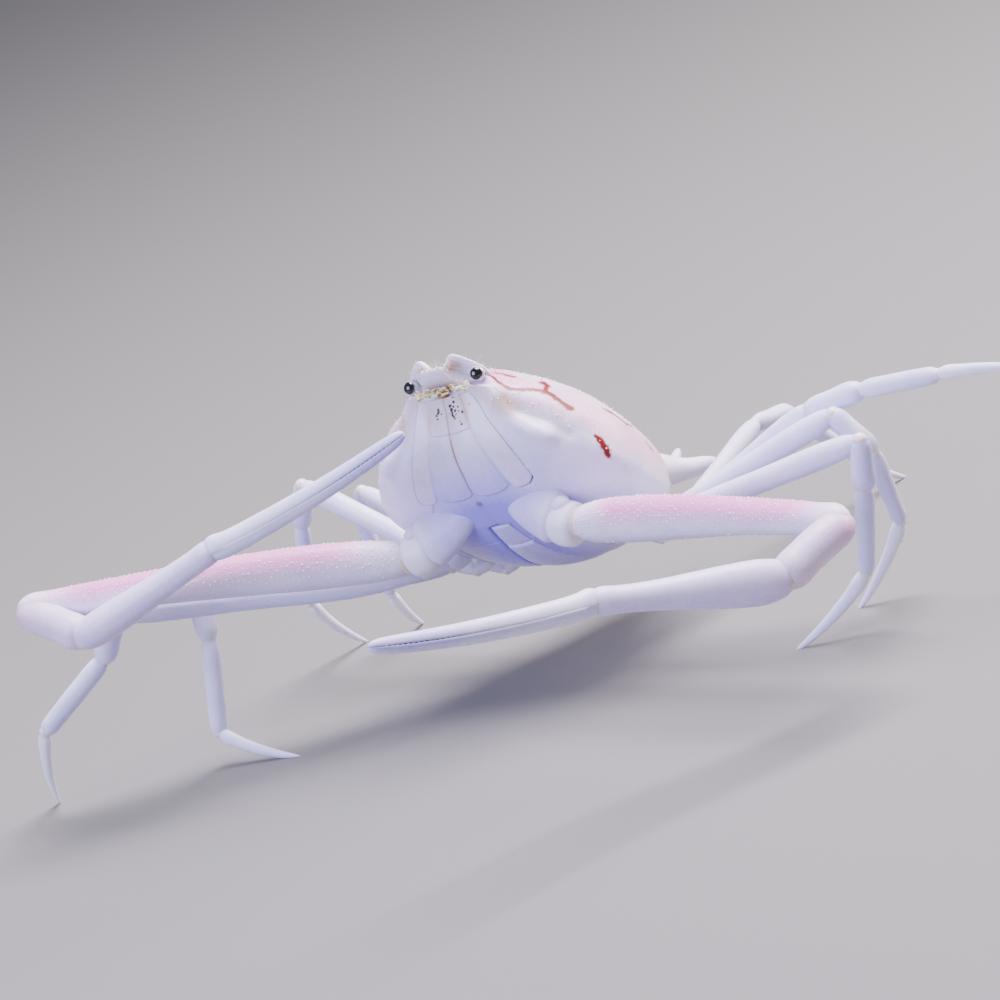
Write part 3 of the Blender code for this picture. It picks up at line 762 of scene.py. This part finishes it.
def tailFlap():
    bm = newShape()

    def left(x):
        return np.interp(x, flapLook["x"], flapLook["flap"])

    def right(x):
        return -left(x)

    for front, rear in zip(flapLook["cuts"][:-1], flapLook["cuts"][1:]):
        lift = -0.2 if front > 4 else -0.1
        addPlate(bm, (rear + 0.03, front - 0.03), right, left, lift, 0.18, edge=0.14, cuts=40, thick=0.7)
    # The tail flap lies in shade under the body: its strong violet is painted bluish shade.
    paint(bm, list(bm.verts), lavenderAndShade=0.7)
    finishPiece("tailFlap", bm, plateMaterial, "abdomen", inBody=True)


breastPlates()
tailFlap()
print("underside built")


# Eyes and feelers
eyeAim = {"left": (0.85, 0.42, -0.3), "right": (0.9, 0.12, -0.3)}


def buildEye(side, sideName):
    bm = newShape()
    made = addBall(bm, 40, 30)
    local = unitRows(readPoints(made))
    toward = local @ unit(np.array(eyeAim[sideName]))
    dome = 1 + 0.05 * smoothStep(0.55, 0.75, toward)
    centre = onSide(eyeLook["centre"], side)
    writePoints(made, centre + local * (eyeLook["radius"] * dome)[:, None])
    paint(bm, made, mark=smoothStep(0.3, 0.9, toward))
    # The short stalk that carries the eye, back into its socket.
    stalk = bmesh.ops.create_cone(
        bm, cap_ends=True, segments=28, radius1=0.55, radius2=0.5, depth=1.4,
        matrix=aimed(
            Vector(centre) + Vector((-0.75, -side * 0.35, -0.05)), Vector((1.0, side * 0.4, 0.0))
        ),
    )["verts"]
    paint(bm, stalk)
    finishPiece("eye" + sideName.capitalize(), bm, wetEye, "eye_" + sideName, inBody=True)


for side, sideName in bothSides:
    buildEye(side, sideName)


def addFolded(bm, line, radius):  # a soft rod through the points of a line
    line = np.array(line, float)
    made = addBall(bm, 14, 24)
    local = readPoints(made)
    t = np.clip((local[:, 2] + 1) / 2, 0, 1)
    run = unit(line[-1] - line[0])
    across = unit(np.cross(run, (0.3, 0.1, 1.0)))
    rise = np.cross(run, across)
    size = radius * bluntEnds(local, 4) * (1 + 0.1 * np.sin(t * 26))
    dx, dy = (local[:, k] / ringOf(local) * size for k in (0, 1))
    writePoints(made, alongLine(line, t) + across * dx[:, None] + rise * dy[:, None])


# Folded rods: each line of points on the left side, with its radius. Bits of feeler lie around them.
feelerLook = {
    "pocket": (
        (((13.1, -0.55, 1.05), (13.2, 0.2, 0.98), (13.1, 0.95, 1.05)), 0.24),
        (((13.0, -0.3, 0.6), (13.12, 0.2, 0.5), (13.0, 0.6, 0.6)), 0.2),
    ),
    "rods": (
        (((13.35, 0.2, 1.15), (13.5, 0.5, 1.08), (13.4, 0.85, 0.95)), 0.09),
        (((13.25, 0.15, 0.5), (13.4, 0.5, 0.5), (13.3, 1.0, 0.6)), 0.1),
        (((13.4, 0.95, 1.15), (13.5, 1.25, 1.2), (13.35, 1.6, 1.2)), 0.11),
        (((13.05, 1.3, 0.8), (13.15, 1.7, 0.9), (13.0, 2.3, 1.05)), 0.17),
        (((12.95, 2.0, 0.75), (12.95, 2.5, 0.8), (12.75, 3.0, 0.95)), 0.14),
    ),
    "seed": 17, "bits": 90, "length": (0.2, 0.6), "radius": (0.04, 0.085),
}


def feelers(look):
    pocket = newShape()
    beads = newShape()
    rng = np.random.default_rng(look["seed"])
    for line, radius in look["pocket"]:
        addFolded(pocket, line, radius)
    for side in (1, -1):
        for line, radius in look["rods"]:
            addFolded(beads, onSide(line, side), radius)
        # The round foot of each feeler, with a small brown ball in front as painted shade for its opening.
        foot = np.array((13.3, side * 1.0 + 0.35 * (side > 0), 0.95))
        for shape, size, ahead in ((beads, 0.22, 0.0), (pocket, 0.12, 0.15)):
            made = addBall(shape, 16, 12)
            writePoints(made, readPoints(made) * size + foot + [ahead, 0.0, 0.0])
    for bit in range(look["bits"]):
        y = rng.uniform(-2.9, 2.9)
        middle = np.array((13.42 - 0.17 * abs(y), y, 0.75 + 0.13 * abs(y) + rng.normal(0, 0.22)))
        way = unit(np.array((0.25 * rng.normal(), 1.0, 0.5 * rng.normal())))
        half = way * rng.uniform(*look["length"]) / 2
        bend = np.array((0.05, 0.0, 0.06))
        addFolded(beads, (middle - half, middle + bend, middle + half), rng.uniform(*look["radius"]))
    finishPiece("feelerPocket", pocket, pocketSkin, inBody=True)
    finishPiece("foldedFeelers", beads, feelerSkin, inBody=True)


feelers(feelerLook)
print("head built")

# Limbs. In the body frame, on the left side: where each leaves the breast, where its merus starts, the
# lengths of its segments from the merus out, and a leg's radii of base, merus, carpus, propodus, tip.
limbLook = {
    "claw": {"root": (3.6, 5.6, -5.2), "start": (4.7, 9.5, -9.7), "lengths": (33.7, 6.8, 15.6, 20.1)},
    "leg1": {
        "root": (0.2, 6.0, -5.6), "start": (0.7, 10.4, -9.8), "lengths": (27.3, 4.3, 8.5, 9.7),
        "radii": (1.15, 0.95, 0.92, 0.78, 0.56),
    },
    "leg2": {
        "root": (-2.6, 6.0, -5.2), "start": (-2.4, 10.0, -8.3), "lengths": (22.8, 4.4, 8.5, 8.9),
        "radii": (1.1, 0.92, 0.9, 0.75, 0.54),
    },
    "leg3": {
        "root": (-5.4, 5.6, -4.6), "start": (-5.3, 9.5, -7.7), "lengths": (20.7, 5.2, 8.8, 9.8),
        "radii": (1.05, 0.9, 0.88, 0.72, 0.52),
    },
    "leg4": {
        "root": (-7.8, 5.0, -4.0), "start": (-7.9, 8.3, -6.9), "lengths": (19.1, 4.6, 7.7, 8.4),
        "radii": (1.0, 0.85, 0.82, 0.68, 0.5),
    },
}
# Each segment's heading in degrees: turned outward from straight ahead, then raised. The last segment
# of a leg that stands drops to the floor.
limbPose = {
    "claw_left": ((72, 0), (-27, -19), (-41, 15), (-25, 14)),
    "leg1_left": ((88, 11), (-105, -72), (-113, -63), (-79, None)),
    "leg2_left": ((94, 18), (108, -61), (-151, -61), (-76, None)),
    "leg3_left": ((93, 25), (94, 8), (80, 4), (87, -4)),
    "leg4_left": ((180, 11), (172, -10), (171, -48), (171, None)),
    "claw_right": ((65, 9), (-81, -25), (-102, 18), (-111, 15)),
    "leg1_right": ((63, 10), (68, -53), (59, -33), (127, None)),
    "leg2_right": ((63, 13), (0, -86), (35, -76), (-84, None)),
    "leg3_right": ((100, 28), (119, -50), (115, -63), (172, None)),
    "leg4_right": ((107, 25), (127, -43), (151, -83), (157, None)),
}
worldUp = np.array((0.0, 0.0, 1.0))


def limbJoints(kind, sideName):
    side = 1 if sideName == "left" else -1
    look = limbLook[kind]
    joints = [bodyMatrix @ Vector(onSide(look[key], side)) for key in ("root", "start")]
    for length, (turn, lift) in zip(look["lengths"], limbPose[kind + "_" + sideName]):
        if lift is None:
            lift = -math.degrees(math.asin(min(1.0, joints[-1].z / length)))
        turn, lift = math.radians(turn), math.radians(lift)
        level = math.cos(lift)
        way = Vector((side * math.sin(turn) * level, -math.cos(turn) * level, math.sin(lift)))
        joints.append(joints[-1] + way * length)
    return [np.array(joint) for joint in joints]


def headings(start, end):  # along a segment, and up across it
    way = unit(end - start)
    return way, unit(worldUp - way * (worldUp @ way))


def addRod(bm, start, end, up, rows, sides=28, rings=44, blunt=9, bow=(0, 0, 0), half=0):
    # A closed rod from start to end. Rows give place along it, half width, half depth, shift up. Half
    # is 1 for only its upper half and -1 for only its lower half.
    made = addBall(bm, sides, rings)
    local = unitRows(readPoints(made))
    axis = unit(end - start)
    across = unit(np.cross(up, axis))
    rise = np.cross(axis, across)
    rows = np.array([tuple(row) + (0.0,) * (4 - len(row)) for row in rows], float)
    t = (local[:, 2] + 1) / 2
    ring = ringOf(local)
    c, s = local[:, 0] / ring, local[:, 1] / ring
    pole = ring < 1e-4
    c[pole], s[pole] = 0, 0
    size = bluntEnds(local, blunt)
    wide, deep, shift = (smoothThrough(rows[:, 0], rows[:, k], t) for k in (1, 2, 3))
    if half:
        flatter = 0.04  # the share of its depth that the side left out keeps
        s = np.where(s * half < 0, s * flatter, s)
    points = start + axis * (np.linalg.norm(end - start) * t)[:, None]
    points += across * (c * (wide * size))[:, None] + rise * (s * (deep * size) + shift)[:, None]
    points += np.array(bow) * (4 * t * (1 - t))[:, None]
    writePoints(made, points)
    return SimpleNamespace(verts=made, t=t, c=c, s=s, points=points)


def jointBall(bm, centre, radius):
    made = addBall(bm, 24, 18)
    writePoints(made, readPoints(made) * radius + np.array(centre))


clawLook = {
    # Each block of the base: start, end, rows of a rod, how blunt its ends are, how warm its outer end is.
    "blocks": (
        (
            (5.4, 1.4, -6.1), (4.9, 7.5, -9.1),
            ((0, 0.7, 0.6), (0.3, 1.6, 1.15), (0.7, 2.25, 1.5), (0.92, 2.35, 1.65), (1, 2.0, 1.35)), 7, 0.1,
        ),
        (
            (4.6, 6.4, -9.0), (4.72, 9.2, -9.8),
            ((0, 1.7, 1.6), (0.4, 1.95, 1.8), (0.85, 1.8, 1.7), (1, 1.5, 1.45)), 9, 0.2,
        ),
        ((5.8, 7.0, -7.8), (5.85, 8.7, -8.6), ((0, 0.6, 0.6), (0.5, 0.85, 0.85), (1, 0.6, 0.6)), 3, 0.0),
    ),
    "merus": (
        (0, 1.2, 1.2), (0.025, 1.45, 1.5), (0.08, 1.62, 1.75), (0.2, 1.72, 1.95), (0.4, 1.7, 1.85),
        (0.65, 1.55, 1.52), (0.84, 1.42, 1.36, -0.03), (0.92, 1.36, 1.28), (0.965, 1.34, 1.32, 0.06),
        (1, 1.1, 1.1, 0.12),
    ),
    "carpus": (
        (0, 1.1, 1.1, -0.45), (0.12, 1.42, 1.4, -0.35), (0.35, 1.56, 1.55, -0.12), (0.65, 1.52, 1.56),
        (0.9, 1.58, 1.6), (1, 1.35, 1.38),
    ),
    "palm": (
        (0, 1.05, 1.1), (0.05, 1.35, 1.5), (0.15, 1.48, 1.82, -0.08), (0.3, 1.44, 1.78, -0.1),
        (0.48, 1.3, 1.5, -0.08), (0.66, 1.12, 1.22, -0.05), (0.84, 1.06, 1.12, 0.0),
        (0.94, 1.12, 1.2, 0.03), (1, 0.9, 0.95, -0.05),
    ),
    "fixedFinger": (
        (0, 0.95, 1.05, 0.06), (0.08, 0.98, 1.16, 0.06), (0.3, 0.88, 1.08, 0.03),
        (0.65, 0.74, 0.86, -0.045), (0.92, 0.58, 0.66, -0.05), (1, 0.5, 0.56, -0.03),
    ),
    "movingFinger": (
        (0, 0.85, 0.9, -0.05), (0.055, 1.02, 1.36, -0.05), (0.12, 0.96, 1.2, -0.05),
        (0.3, 0.88, 1.08, -0.02), (0.65, 0.72, 0.84, 0.045), (0.92, 0.56, 0.62, 0.05), (1, 0.48, 0.52, 0.03),
    ),
    "armBow": 0.5,
    "fingerBow": -0.45,
}


def buildClaw(look, sideName):
    joints = limbJoints("claw", sideName)
    side = 1 if sideName == "left" else -1
    label, node = sideName.capitalize(), f"claw_{sideName}_"
    skin = newShape()

    # Base: the broad coxa against the breast, then basis and ischium, with a white knuckle above.
    bm = newShape()
    front = onSide((0.9, 0.1, -0.4), side)
    for start, end, rows, blunt, warmth in look["blocks"]:
        rod = addRod(bm, onSide(start, side), onSide(end, side), front, rows, blunt=blunt)
        inward = smoothStep(8.0, 4.0, np.abs(rod.points[:, 1]))
        # Lavender deepened towards the middle as painted bluish shade under the body.
        paint(bm, rod.verts, warm=warmth * smoothStep(0.8, 1.0, rod.t), lavenderAndShade=0.45 + 0.3 * inward - warmth)
    finishPiece("clawBase" + label, bm, plateMaterial, node + "base", inBody=True)

    # Merus: the long arm, slightly swollen in its inner third and rounded at the elbow.
    bm = newShape()
    a, b = joints[1], joints[2]
    way = unit(b - a)
    jointBall(skin, a - way * 0.35 + worldUp * 0.14, 1.42)
    rod = addRod(
        bm, a - way * 0.9, b + way * 0.8, worldUp, look["merus"],
        sides=44, rings=110, blunt=24, bow=worldUp * look["armBow"],
    )
    t, s = rod.t, rod.s
    flush = (0.14 + 0.86 * smoothStep(-0.6, 1.0, s)) * (0.3 + 0.7 * smoothStep(0.02, 0.22, t))
    flush *= 0.4 + 0.6 * smoothStep(1.0, 0.78, t)
    warm = 0.75 * smoothStep(0.05, 0.0, t) * smoothStep(-0.6, 0.6, s) + 0.15 * smoothStep(0.16, 0.05, t)
    # Lavender rising on the lower side: painted bluish shade.
    paint(bm, rod.verts, flush, warm, 0.2 + 0.3 * smoothStep(0.2, -0.8, s))
    finishPiece("clawArm" + label, bm, armMaterial, node + "merus")

    # Carpus: short, rounded at the elbow, with a rim where the palm starts.
    bm = newShape()
    a, b = joints[2], joints[3]
    way, up = headings(a, b)
    rod = addRod(bm, a - way * 0.9, b + way * 0.55, up, look["carpus"], sides=40, rings=60, blunt=6)
    warm = 0.2 * smoothStep(0.8, 1.0, rod.t) + 0.1 * smoothStep(0.15, 0.0, rod.t)
    paint(bm, rod.verts, 0.3 * smoothStep(0.6, 0.0, rod.t) + 0.4, warm + 0.3, 0.36)
    finishPiece("clawWrist" + label, bm, armMaterial, node + "carpus")
    jointBall(skin, b, 1.18)

    # Propodus: the palm, then the fixed finger. The moving finger lies along its upper side.
    bm = newShape()
    a, b, tip = joints[3], joints[4], joints[5]
    way, up = headings(a, b)
    rows = look["palm"]
    if side < 0:  # the right hand is turned about its length, so that its narrow side is seen
        rows = [(row[0], row[2], row[1], *row[3:]) for row in rows]
    rod = addRod(bm, a - way * 1.1, b + way * 0.75, up, rows, sides=44, rings=80, blunt=12)
    t, s = rod.t, rod.s
    warm = 0.25 * smoothStep(0.08, 0.0, t) + 0.15 * smoothStep(0.93, 1.0, t)
    # Lavender rising on the lower side: painted bluish shade.
    lavenderAndShade = 0.2 * smoothStep(0.4, -0.8, s) + 0.36
    paint(bm, rod.verts, 0.36 + 0.14 * smoothStep(0.5, 0.0, t), warm + 0.16, lavenderAndShade)
    bow = headings(b, tip)[1] * look["fingerBow"]
    rod = addFinger(bm, b, tip, look["fixedFinger"], 0.9, 90, bow, -1)
    # Three lengthwise bands of deeper lavender: painted shade standing for the finger's fine grooves.
    ridge = np.cos(np.arctan2(rod.s, rod.c) * 3)
    paint(bm, rod.verts, 0.2, 0.1, 0.36 + 0.26 * smoothStep(0.3, 0.9, rod.t) + 0.1 * (ridge > 0))
    addFingerTeeth(bm, b, tip, bow, -1)
    finishPiece("clawHand" + label, bm, legMaterial, node + "propodus")

    # Dactylus: the moving finger, with a rounded knuckle at its hinge.
    bm = newShape()
    rod = addFinger(bm, b, tip, look["movingFinger"], 1.1, 100, bow, 1)
    warm = 0.35 * smoothStep(0.06, 0.0, rod.t) + 0.05
    paint(bm, rod.verts, 0.2, warm, 0.3 + 0.3 * smoothStep(0.3, 0.9, rod.t))
    addFingerTeeth(bm, b, tip, bow, 1)
    finishPiece("clawFinger" + label, bm, legMaterial, node + "dactylus")
    jointBall(skin, b, 0.85)
    finishPiece("clawJoints" + label, skin, clawSkin)


def addFinger(bm, start, end, rows, back, rings, bow, half):  # half a rod, from back of the hinge
    way, up = headings(start, end)
    begin, stop = start - way * back, end - way * 0.05
    return addRod(bm, begin, stop, up, rows, sides=36, rings=rings, blunt=22, bow=bow, half=half)


def addFingerTeeth(bm, start, end, bow, half):
    # Fine blunt teeth along both rims of the biting edge, close at the base and wider apart further out.
    way, up = headings(start, end)
    reach = np.linalg.norm(end - start)
    across = unit(np.cross(way, up))
    for rim in (-1, 1):
        t = 0.1
        while t < 0.95:
            size, gap = (0.1, 0.46) if t > 0.4 else (0.075, 0.13)
            place = start + way * (reach * t) + bow * (4 * t * (1 - t)) + up * (half * 0.02)
            place += across * (rim * (0.86 - 0.42 * t))
            made = addBall(bm, 8, 6)
            writePoints(made, readPoints(made) * size + place)
            paint(bm, made, warm=0.05, lavenderAndShade=0.2)
            t += gap / reach


for side, sideName in bothSides:
    buildClaw(clawLook, sideName)
print("claws built")

# Rows of a leg's segments, as shares of the segment's radius.
legRows = {
    "merus": (
        (0, 0.55, 0.55, 0.3), (0.05, 0.72, 0.74, 0.24), (0.2, 0.97, 1.04, 0.0), (0.6, 0.96, 1.04),
        (0.9, 1.0, 1.1), (0.97, 0.95, 1.05), (1, 0.8, 0.9),
    ),
    "carpus": ((0, 0.66, 0.7), (0.12, 0.84, 0.9), (0.45, 0.98, 1.02), (0.85, 1.04, 1.1), (1, 0.78, 0.85)),
    "propodus": (
        (0, 0.72, 0.76), (0.1, 0.95, 1.0), (0.4, 1.0, 1.1), (0.8, 0.92, 1.05), (0.95, 0.88, 0.98),
        (1, 0.7, 0.78),
    ),
    "dactylus": (
        (0, 0.7, 0.75), (0.06, 0.95, 1.05), (0.3, 0.9, 1.0), (0.7, 0.58, 0.68), (0.95, 0.27, 0.34),
        (1, 0.2, 0.24),
    ),
}


def scaled(rows, radius):
    return [(row[0], *(value * radius for value in row[1:])) for row in rows]


def buildLeg(kind, sideName):
    joints = limbJoints(kind, sideName)
    rBase, rMerus, rCarpus, rProp, rTip = limbLook[kind]["radii"]
    label, node = kind.capitalize() + sideName.capitalize(), f"{kind}_{sideName}_"
    raised = limbPose[kind + "_" + sideName][3][1] is not None
    skin = newShape()

    # Base: two short blocks out from the breast.
    bm = newShape()
    a, b = joints[0], joints[1]
    way, length = unit(b - a), np.linalg.norm(b - a)
    lifted = worldUp * 0.35
    coxa = scaled(((0, 0.8, 0.7), (0.5, 0.95, 0.8), (1, 0.8, 0.75)), rBase)
    ischium = scaled(((0, 0.8, 0.75), (0.5, 0.8, 0.75)), rBase) + scaled(((1, 0.68, 0.66),), rMerus)
    # The coxa and ischium sit in shade under the body: their lavender is deepened as painted bluish shade.
    for start, end, rows, lavenderAndShade in (
        (a + way * 0.6, a + way * (length * 0.66), coxa, 0.5),
        (a + way * (length * 0.58), b + way * 0.1, ischium, 0.4),
    ):
        rod = addRod(bm, start + lifted, end + lifted, worldUp, rows, blunt=5)
        paint(bm, rod.verts, lavenderAndShade=lavenderAndShade)
    finishPiece("legBase" + label, bm, legMaterial, node + "base")
    jointBall(skin, b + lifted * 0.8, 0.52 * rMerus)

    segments = (("merus", rMerus, 56), ("carpus", rCarpus, 36), ("propodus", rProp, 36))
    for k, (part, radius, rings) in enumerate(segments):
        a, b = joints[k + 1], joints[k + 2]
        way, up = headings(a, b)
        bm = newShape()
        start, end = a - way * (0.5 * radius), b + way * (0.35 * radius)
        rod = addRod(bm, start, end, up, scaled(legRows[part], radius), sides=26, rings=rings, blunt=10)
        warm = 0.4 * smoothStep(0.06, 0.0, rod.t) + 0.4 * smoothStep(0.95, 1.0, rod.t)
        # Lavender rising on the lower side: painted bluish shade.
        paint(bm, rod.verts, 0.12, warm, 0.34 + 0.26 * smoothStep(0.3, -0.9, rod.s))
        finishPiece("leg" + part.capitalize() + label, bm, legMaterial, node + part)
        jointBall(skin, b, 0.7 * radius)

    # Dactylus: a slender walking claw that curves to a point on the floor.
    a, b = joints[4], joints[5]
    way, up = headings(a, b)
    before = unit(a - joints[3])
    bend = before - way * (before @ way)
    bow = unit(bend) * 0.45 if np.linalg.norm(bend) > 1e-3 else np.zeros(3)
    bm = newShape()
    start, end = a - way * (0.3 * rTip), b + way * (0.1 if raised else 0.35)
    rod = addRod(bm, start, end, up, scaled(legRows["dactylus"], rTip), sides=22, rings=50, blunt=14, bow=bow)
    warm = 0.3 * smoothStep(0.06, 0.0, rod.t) + 0.3 * smoothStep(0.85, 1.0, rod.t)
    paint(bm, rod.verts, warm=warm, lavenderAndShade=0.2 + 0.2 * rod.t)
    if not raised:
        cutAtFloor(bm)
    finishPiece("legTip" + label, bm, legMaterial, node + "dactylus")
    finishPiece("legJoints" + label, skin, legSkin)


def cutAtFloor(bm):  # leaves the small flat that the tip stands on
    geom = list(bm.verts) + list(bm.edges) + list(bm.faces)
    bmesh.ops.bisect_plane(
        bm, geom=geom, dist=1e-5, plane_co=(0, 0, 0), plane_no=(0, 0, -1), clear_outer=True
    )
    rim = [edge for edge in bm.edges if edge.is_boundary]
    if rim:
        bmesh.ops.holes_fill(bm, edges=rim)


for kind in ("leg1", "leg2", "leg3", "leg4"):
    for side, sideName in bothSides:
        buildLeg(kind, sideName)
print("legs built")

# Grains
grainLook = {
    "seed": 41,
    "perArm": 900, "armRadius": (0.05, 0.115), "armSpacing": 0.29,
    "onShell": 2200, "shellRadius": (0.045, 0.13), "shellSpacing": 0.3,
}


def setGrains(bm, spots):  # spots: place, facing and radius of each grain
    addBall(bm, 8, 6)
    for spot in spots[1:]:
        bm.from_mesh(shapeStore[8, 6])
    verts = list(bm.verts)
    local = readPoints(verts).reshape(len(spots), -1, 3)
    for k, (place, facing, radius) in enumerate(spots):
        turn = np.array(Vector(facing).to_track_quat("Z", "Y").to_matrix())
        local[k] = (local[k] * [1, 1, 0.85]) @ turn.T * radius + place - facing * (radius * 0.2)
    writePoints(verts, local.reshape(-1, 3))


def surfaceOf(name):
    vertices = bpy.data.objects[name].data.vertices
    return readPoints(vertices) / mm, np.array([vert.normal for vert in vertices])


def sprinkle(source, count, radii, weight, spacing, rng):
    points, normals = surfaceOf(source)
    chance = weight(points, normals)
    tries = min(int((chance > 0).sum()), count * 6)
    order = rng.choice(len(points), size=tries, replace=False, p=chance / chance.sum())
    beside = list(itertools.product((-1, 0, 1), repeat=3))
    taken = []
    cells = {}
    for index in order:
        place = points[index]
        cell = tuple(np.floor(place / spacing).astype(int))
        near = [cells.get((cell[0] + i, cell[1] + j, cell[2] + k)) for i, j, k in beside]
        if any(other is not None and np.linalg.norm(other - place) < spacing for other in near):
            continue
        cells[cell] = place
        taken.append(index)
        if len(taken) == count:
            break
    sizes = radii[0] + (radii[1] - radii[0]) * rng.random(len(taken)) ** 1.6
    return [(points[index], normals[index], size) for index, size in zip(taken, sizes)]


def intoBody(points):  # from world millimetres to the body frame
    return points @ inverse[:3, :3].T + inverse[:3, 3]


inverse = np.array(bodyMatrix.inverted())
rng = np.random.default_rng(grainLook["seed"])
spots = []
for side, sideName in bothSides:
    start, end = limbJoints("claw", sideName)[1:3]

    def armWeight(points, normals, start=start, end=end):
        t = (points - start) @ (end - start) / ((end - start) @ (end - start))
        top = smoothStep(-0.5, 0.5, normals[:, 2])
        share = 0.03 + top * (0.35 + 0.65 * smoothStep(0.7, 0.1, t))
        return share * smoothStep(-0.02, 0.03, t) * smoothStep(0.98, 0.6, t)

    count, radii, spacing = (grainLook[key] for key in ("perArm", "armRadius", "armSpacing"))
    spots += sprinkle("clawArm" + sideName.capitalize(), count, radii, armWeight, spacing, rng)
bm = newShape()
setGrains(bm, spots)
finishPiece("armGrains", bm, pearl)


def shellWeight(points, normals):
    x, y, z = intoBody(points).T
    above = z - station(carapaceLook, "margin", x)
    rim = bell(above - 0.4, 0.8) * 0.02
    area = 1.0 / (1 + 14 * smoothStep(11.0, 14.0, x) + 14 * smoothStep(-12, -15.5, x))
    return (rim + smoothStep(4.6, 6.2, above) + 1e-5) * area * (1 - smoothStep(-1.0, -3.5, above) * 0.97)


bm = newShape()
count, radii, spacing = (grainLook[key] for key in ("onShell", "shellRadius", "shellSpacing"))
setGrains(bm, sprinkle("carapaceShell", count, radii, shellWeight, spacing, rng))
finishPiece("shellGrains", bm, pearl)
print("grains sprinkled")

# Bristles. Each hair of the brow: its root and way in the body frame, and its length.
bristleLook = {
    "seed": 7,
    "radius": 0.035,
    "tip": 0.005,
    "longHairs": (
        ((13.2, -0.8, 2.8), (0.3, 0.15, 0.93), 1.3), ((14.2, 1.9, 3.3), (0.35, 0.4, 0.9), 0.35),
        ((13.0, 3.5, 2.8), (0.1, 0.6, 0.8), 0.9), ((14.0, -0.4, 2.3), (0.5, 0.2, 0.8), 0.7),
        ((14.0, 0.3, 2.3), (0.5, -0.2, 0.8), 0.6), ((13.6, -3.0, 2.8), (0.2, -0.6, 0.8), 0.7),
    ),
}


def addBristle(bm, root, way, length):
    way = Vector(way).normalized()
    foot, tip = bristleLook["radius"], bristleLook["tip"]
    matrix = aimed(Vector(root) + way * (length / 2), way)
    bmesh.ops.create_cone(
        bm, cap_ends=True, segments=5, radius1=foot, radius2=tip, depth=length, matrix=matrix
    )


rng = np.random.default_rng(bristleLook["seed"])
bm = newShape()
shellSpots, shellNormals = surfaceOf("carapaceShell")
x, y, z = intoBody(shellSpots).T
brow = np.where((x > 12.2) & (z > 2.3))[0]
crest = np.where((x > 2) & (x < 12) & (z > -1.0))[0]
ceiling = cadBox[1][2] - 0.05 * mm  # no bristle stands higher than the solids
for pool, count, lengths in ((brow, 120, (0.25, 0.7)), (crest, 260, (0.15, 0.45))):
    for index in rng.choice(pool, count, replace=False):
        length = lengths[0] + (lengths[1] - lengths[0]) * rng.random()
        way = unit(shellNormals[index] + rng.normal(0, 0.35, 3))
        root = shellSpots[index] - way * 0.05
        if (root + way * length)[2] * mm < ceiling:
            addBristle(bm, root, way, length)
bodyTurn = np.array(bodyMatrix.to_3x3())
for root, way, length in bristleLook["longHairs"]:
    addBristle(bm, bodyMatrix @ Vector(root), bodyTurn @ np.array(way), length)
finishPiece("fineBristles", bm, bristle)
print("bristles set")

# Floor, light, camera
floorLook = {"size": 6.0, "colour": "#757372", "roughness": 0.7}
paper = {"Base Color": floorLook["colour"], "Roughness": floorLook["roughness"]}
floorMaterial = newMaterial("paleMattPaper", paper)[0]  # plain studio paper, matt
bm = newShape()
bmesh.ops.create_grid(bm, x_segments=1, y_segments=1, size=floorLook["size"] / 2)
floor = meshObject("studioFloor", bm, floorMaterial)

roomLook = {"colour": (0.80, 0.84, 0.95, 1.0), "strength": 0.4}
world = bpy.data.worlds.new("softRoom")
bpy.context.scene.world = world
world.use_nodes = True
room = world.node_tree.nodes["Background"]
room.inputs["Color"].default_value = roomLook["colour"]
room.inputs["Strength"].default_value = roomLook["strength"]

cameraLook = {
    "azimuth": 38.0, "elevation": 13.0, "roll": 19.5, "distance": 520.0,
    "target": (-20.936, 26.023, 9.89), "lens": 207.8, "sensor": 36.0,
}
azimuth, elevation, roll = (math.radians(cameraLook[key]) for key in ("azimuth", "elevation", "roll"))
back = Vector(
    (math.sin(azimuth) * math.cos(elevation), -math.cos(azimuth) * math.cos(elevation), math.sin(elevation))
)
level = Vector((math.cos(azimuth), math.sin(azimuth), 0))
upright = back.cross(level)
cameraRight = math.cos(roll) * level - math.sin(roll) * upright
cameraUp = math.sin(roll) * level + math.cos(roll) * upright
eyePoint = Vector(cameraLook["target"]) + back * cameraLook["distance"]
cameraData = bpy.data.cameras.new("photoView")
cameraData.lens = cameraLook["lens"]
cameraData.sensor_width = cameraLook["sensor"]
cameraData.clip_start = 0.01
camera = addObject("photoView", cameraData)
cameraTurn = Matrix((cameraRight, cameraUp, back)).transposed().to_4x4()
camera.matrix_world = Matrix.Translation(eyePoint * mm) @ cameraTurn
bpy.context.scene.camera = camera

# Each lamp: where it hangs in millimetres, its width, its power in watts and its colour. All of them
# point at one place.
lampAim = Vector((0, 5, 12))
lampLook = {
    "overheadSoftbox": ((60, 120, 380), 260, 7.2, "#faf4ff"),
    "frontFill": ((-170, -480, 270), 380, 5.0, "#ccd0ff"),
    "rearRim": ((180, 420, 220), 200, 2.6, "#ffeadb"),
}
for name, (place, width, power, colour) in lampLook.items():
    lampData = bpy.data.lights.new(name, "AREA")
    lampData.shape = "SQUARE"
    lampData.size = width * mm
    lampData.energy = power
    lampData.color = toLinear(colour)[:3]
    addObject(name, lampData).matrix_world = aimed(Vector(place) * mm, lampAim - Vector(place), "-Z")

for mesh in shapeStore.values():
    bpy.data.meshes.remove(mesh)
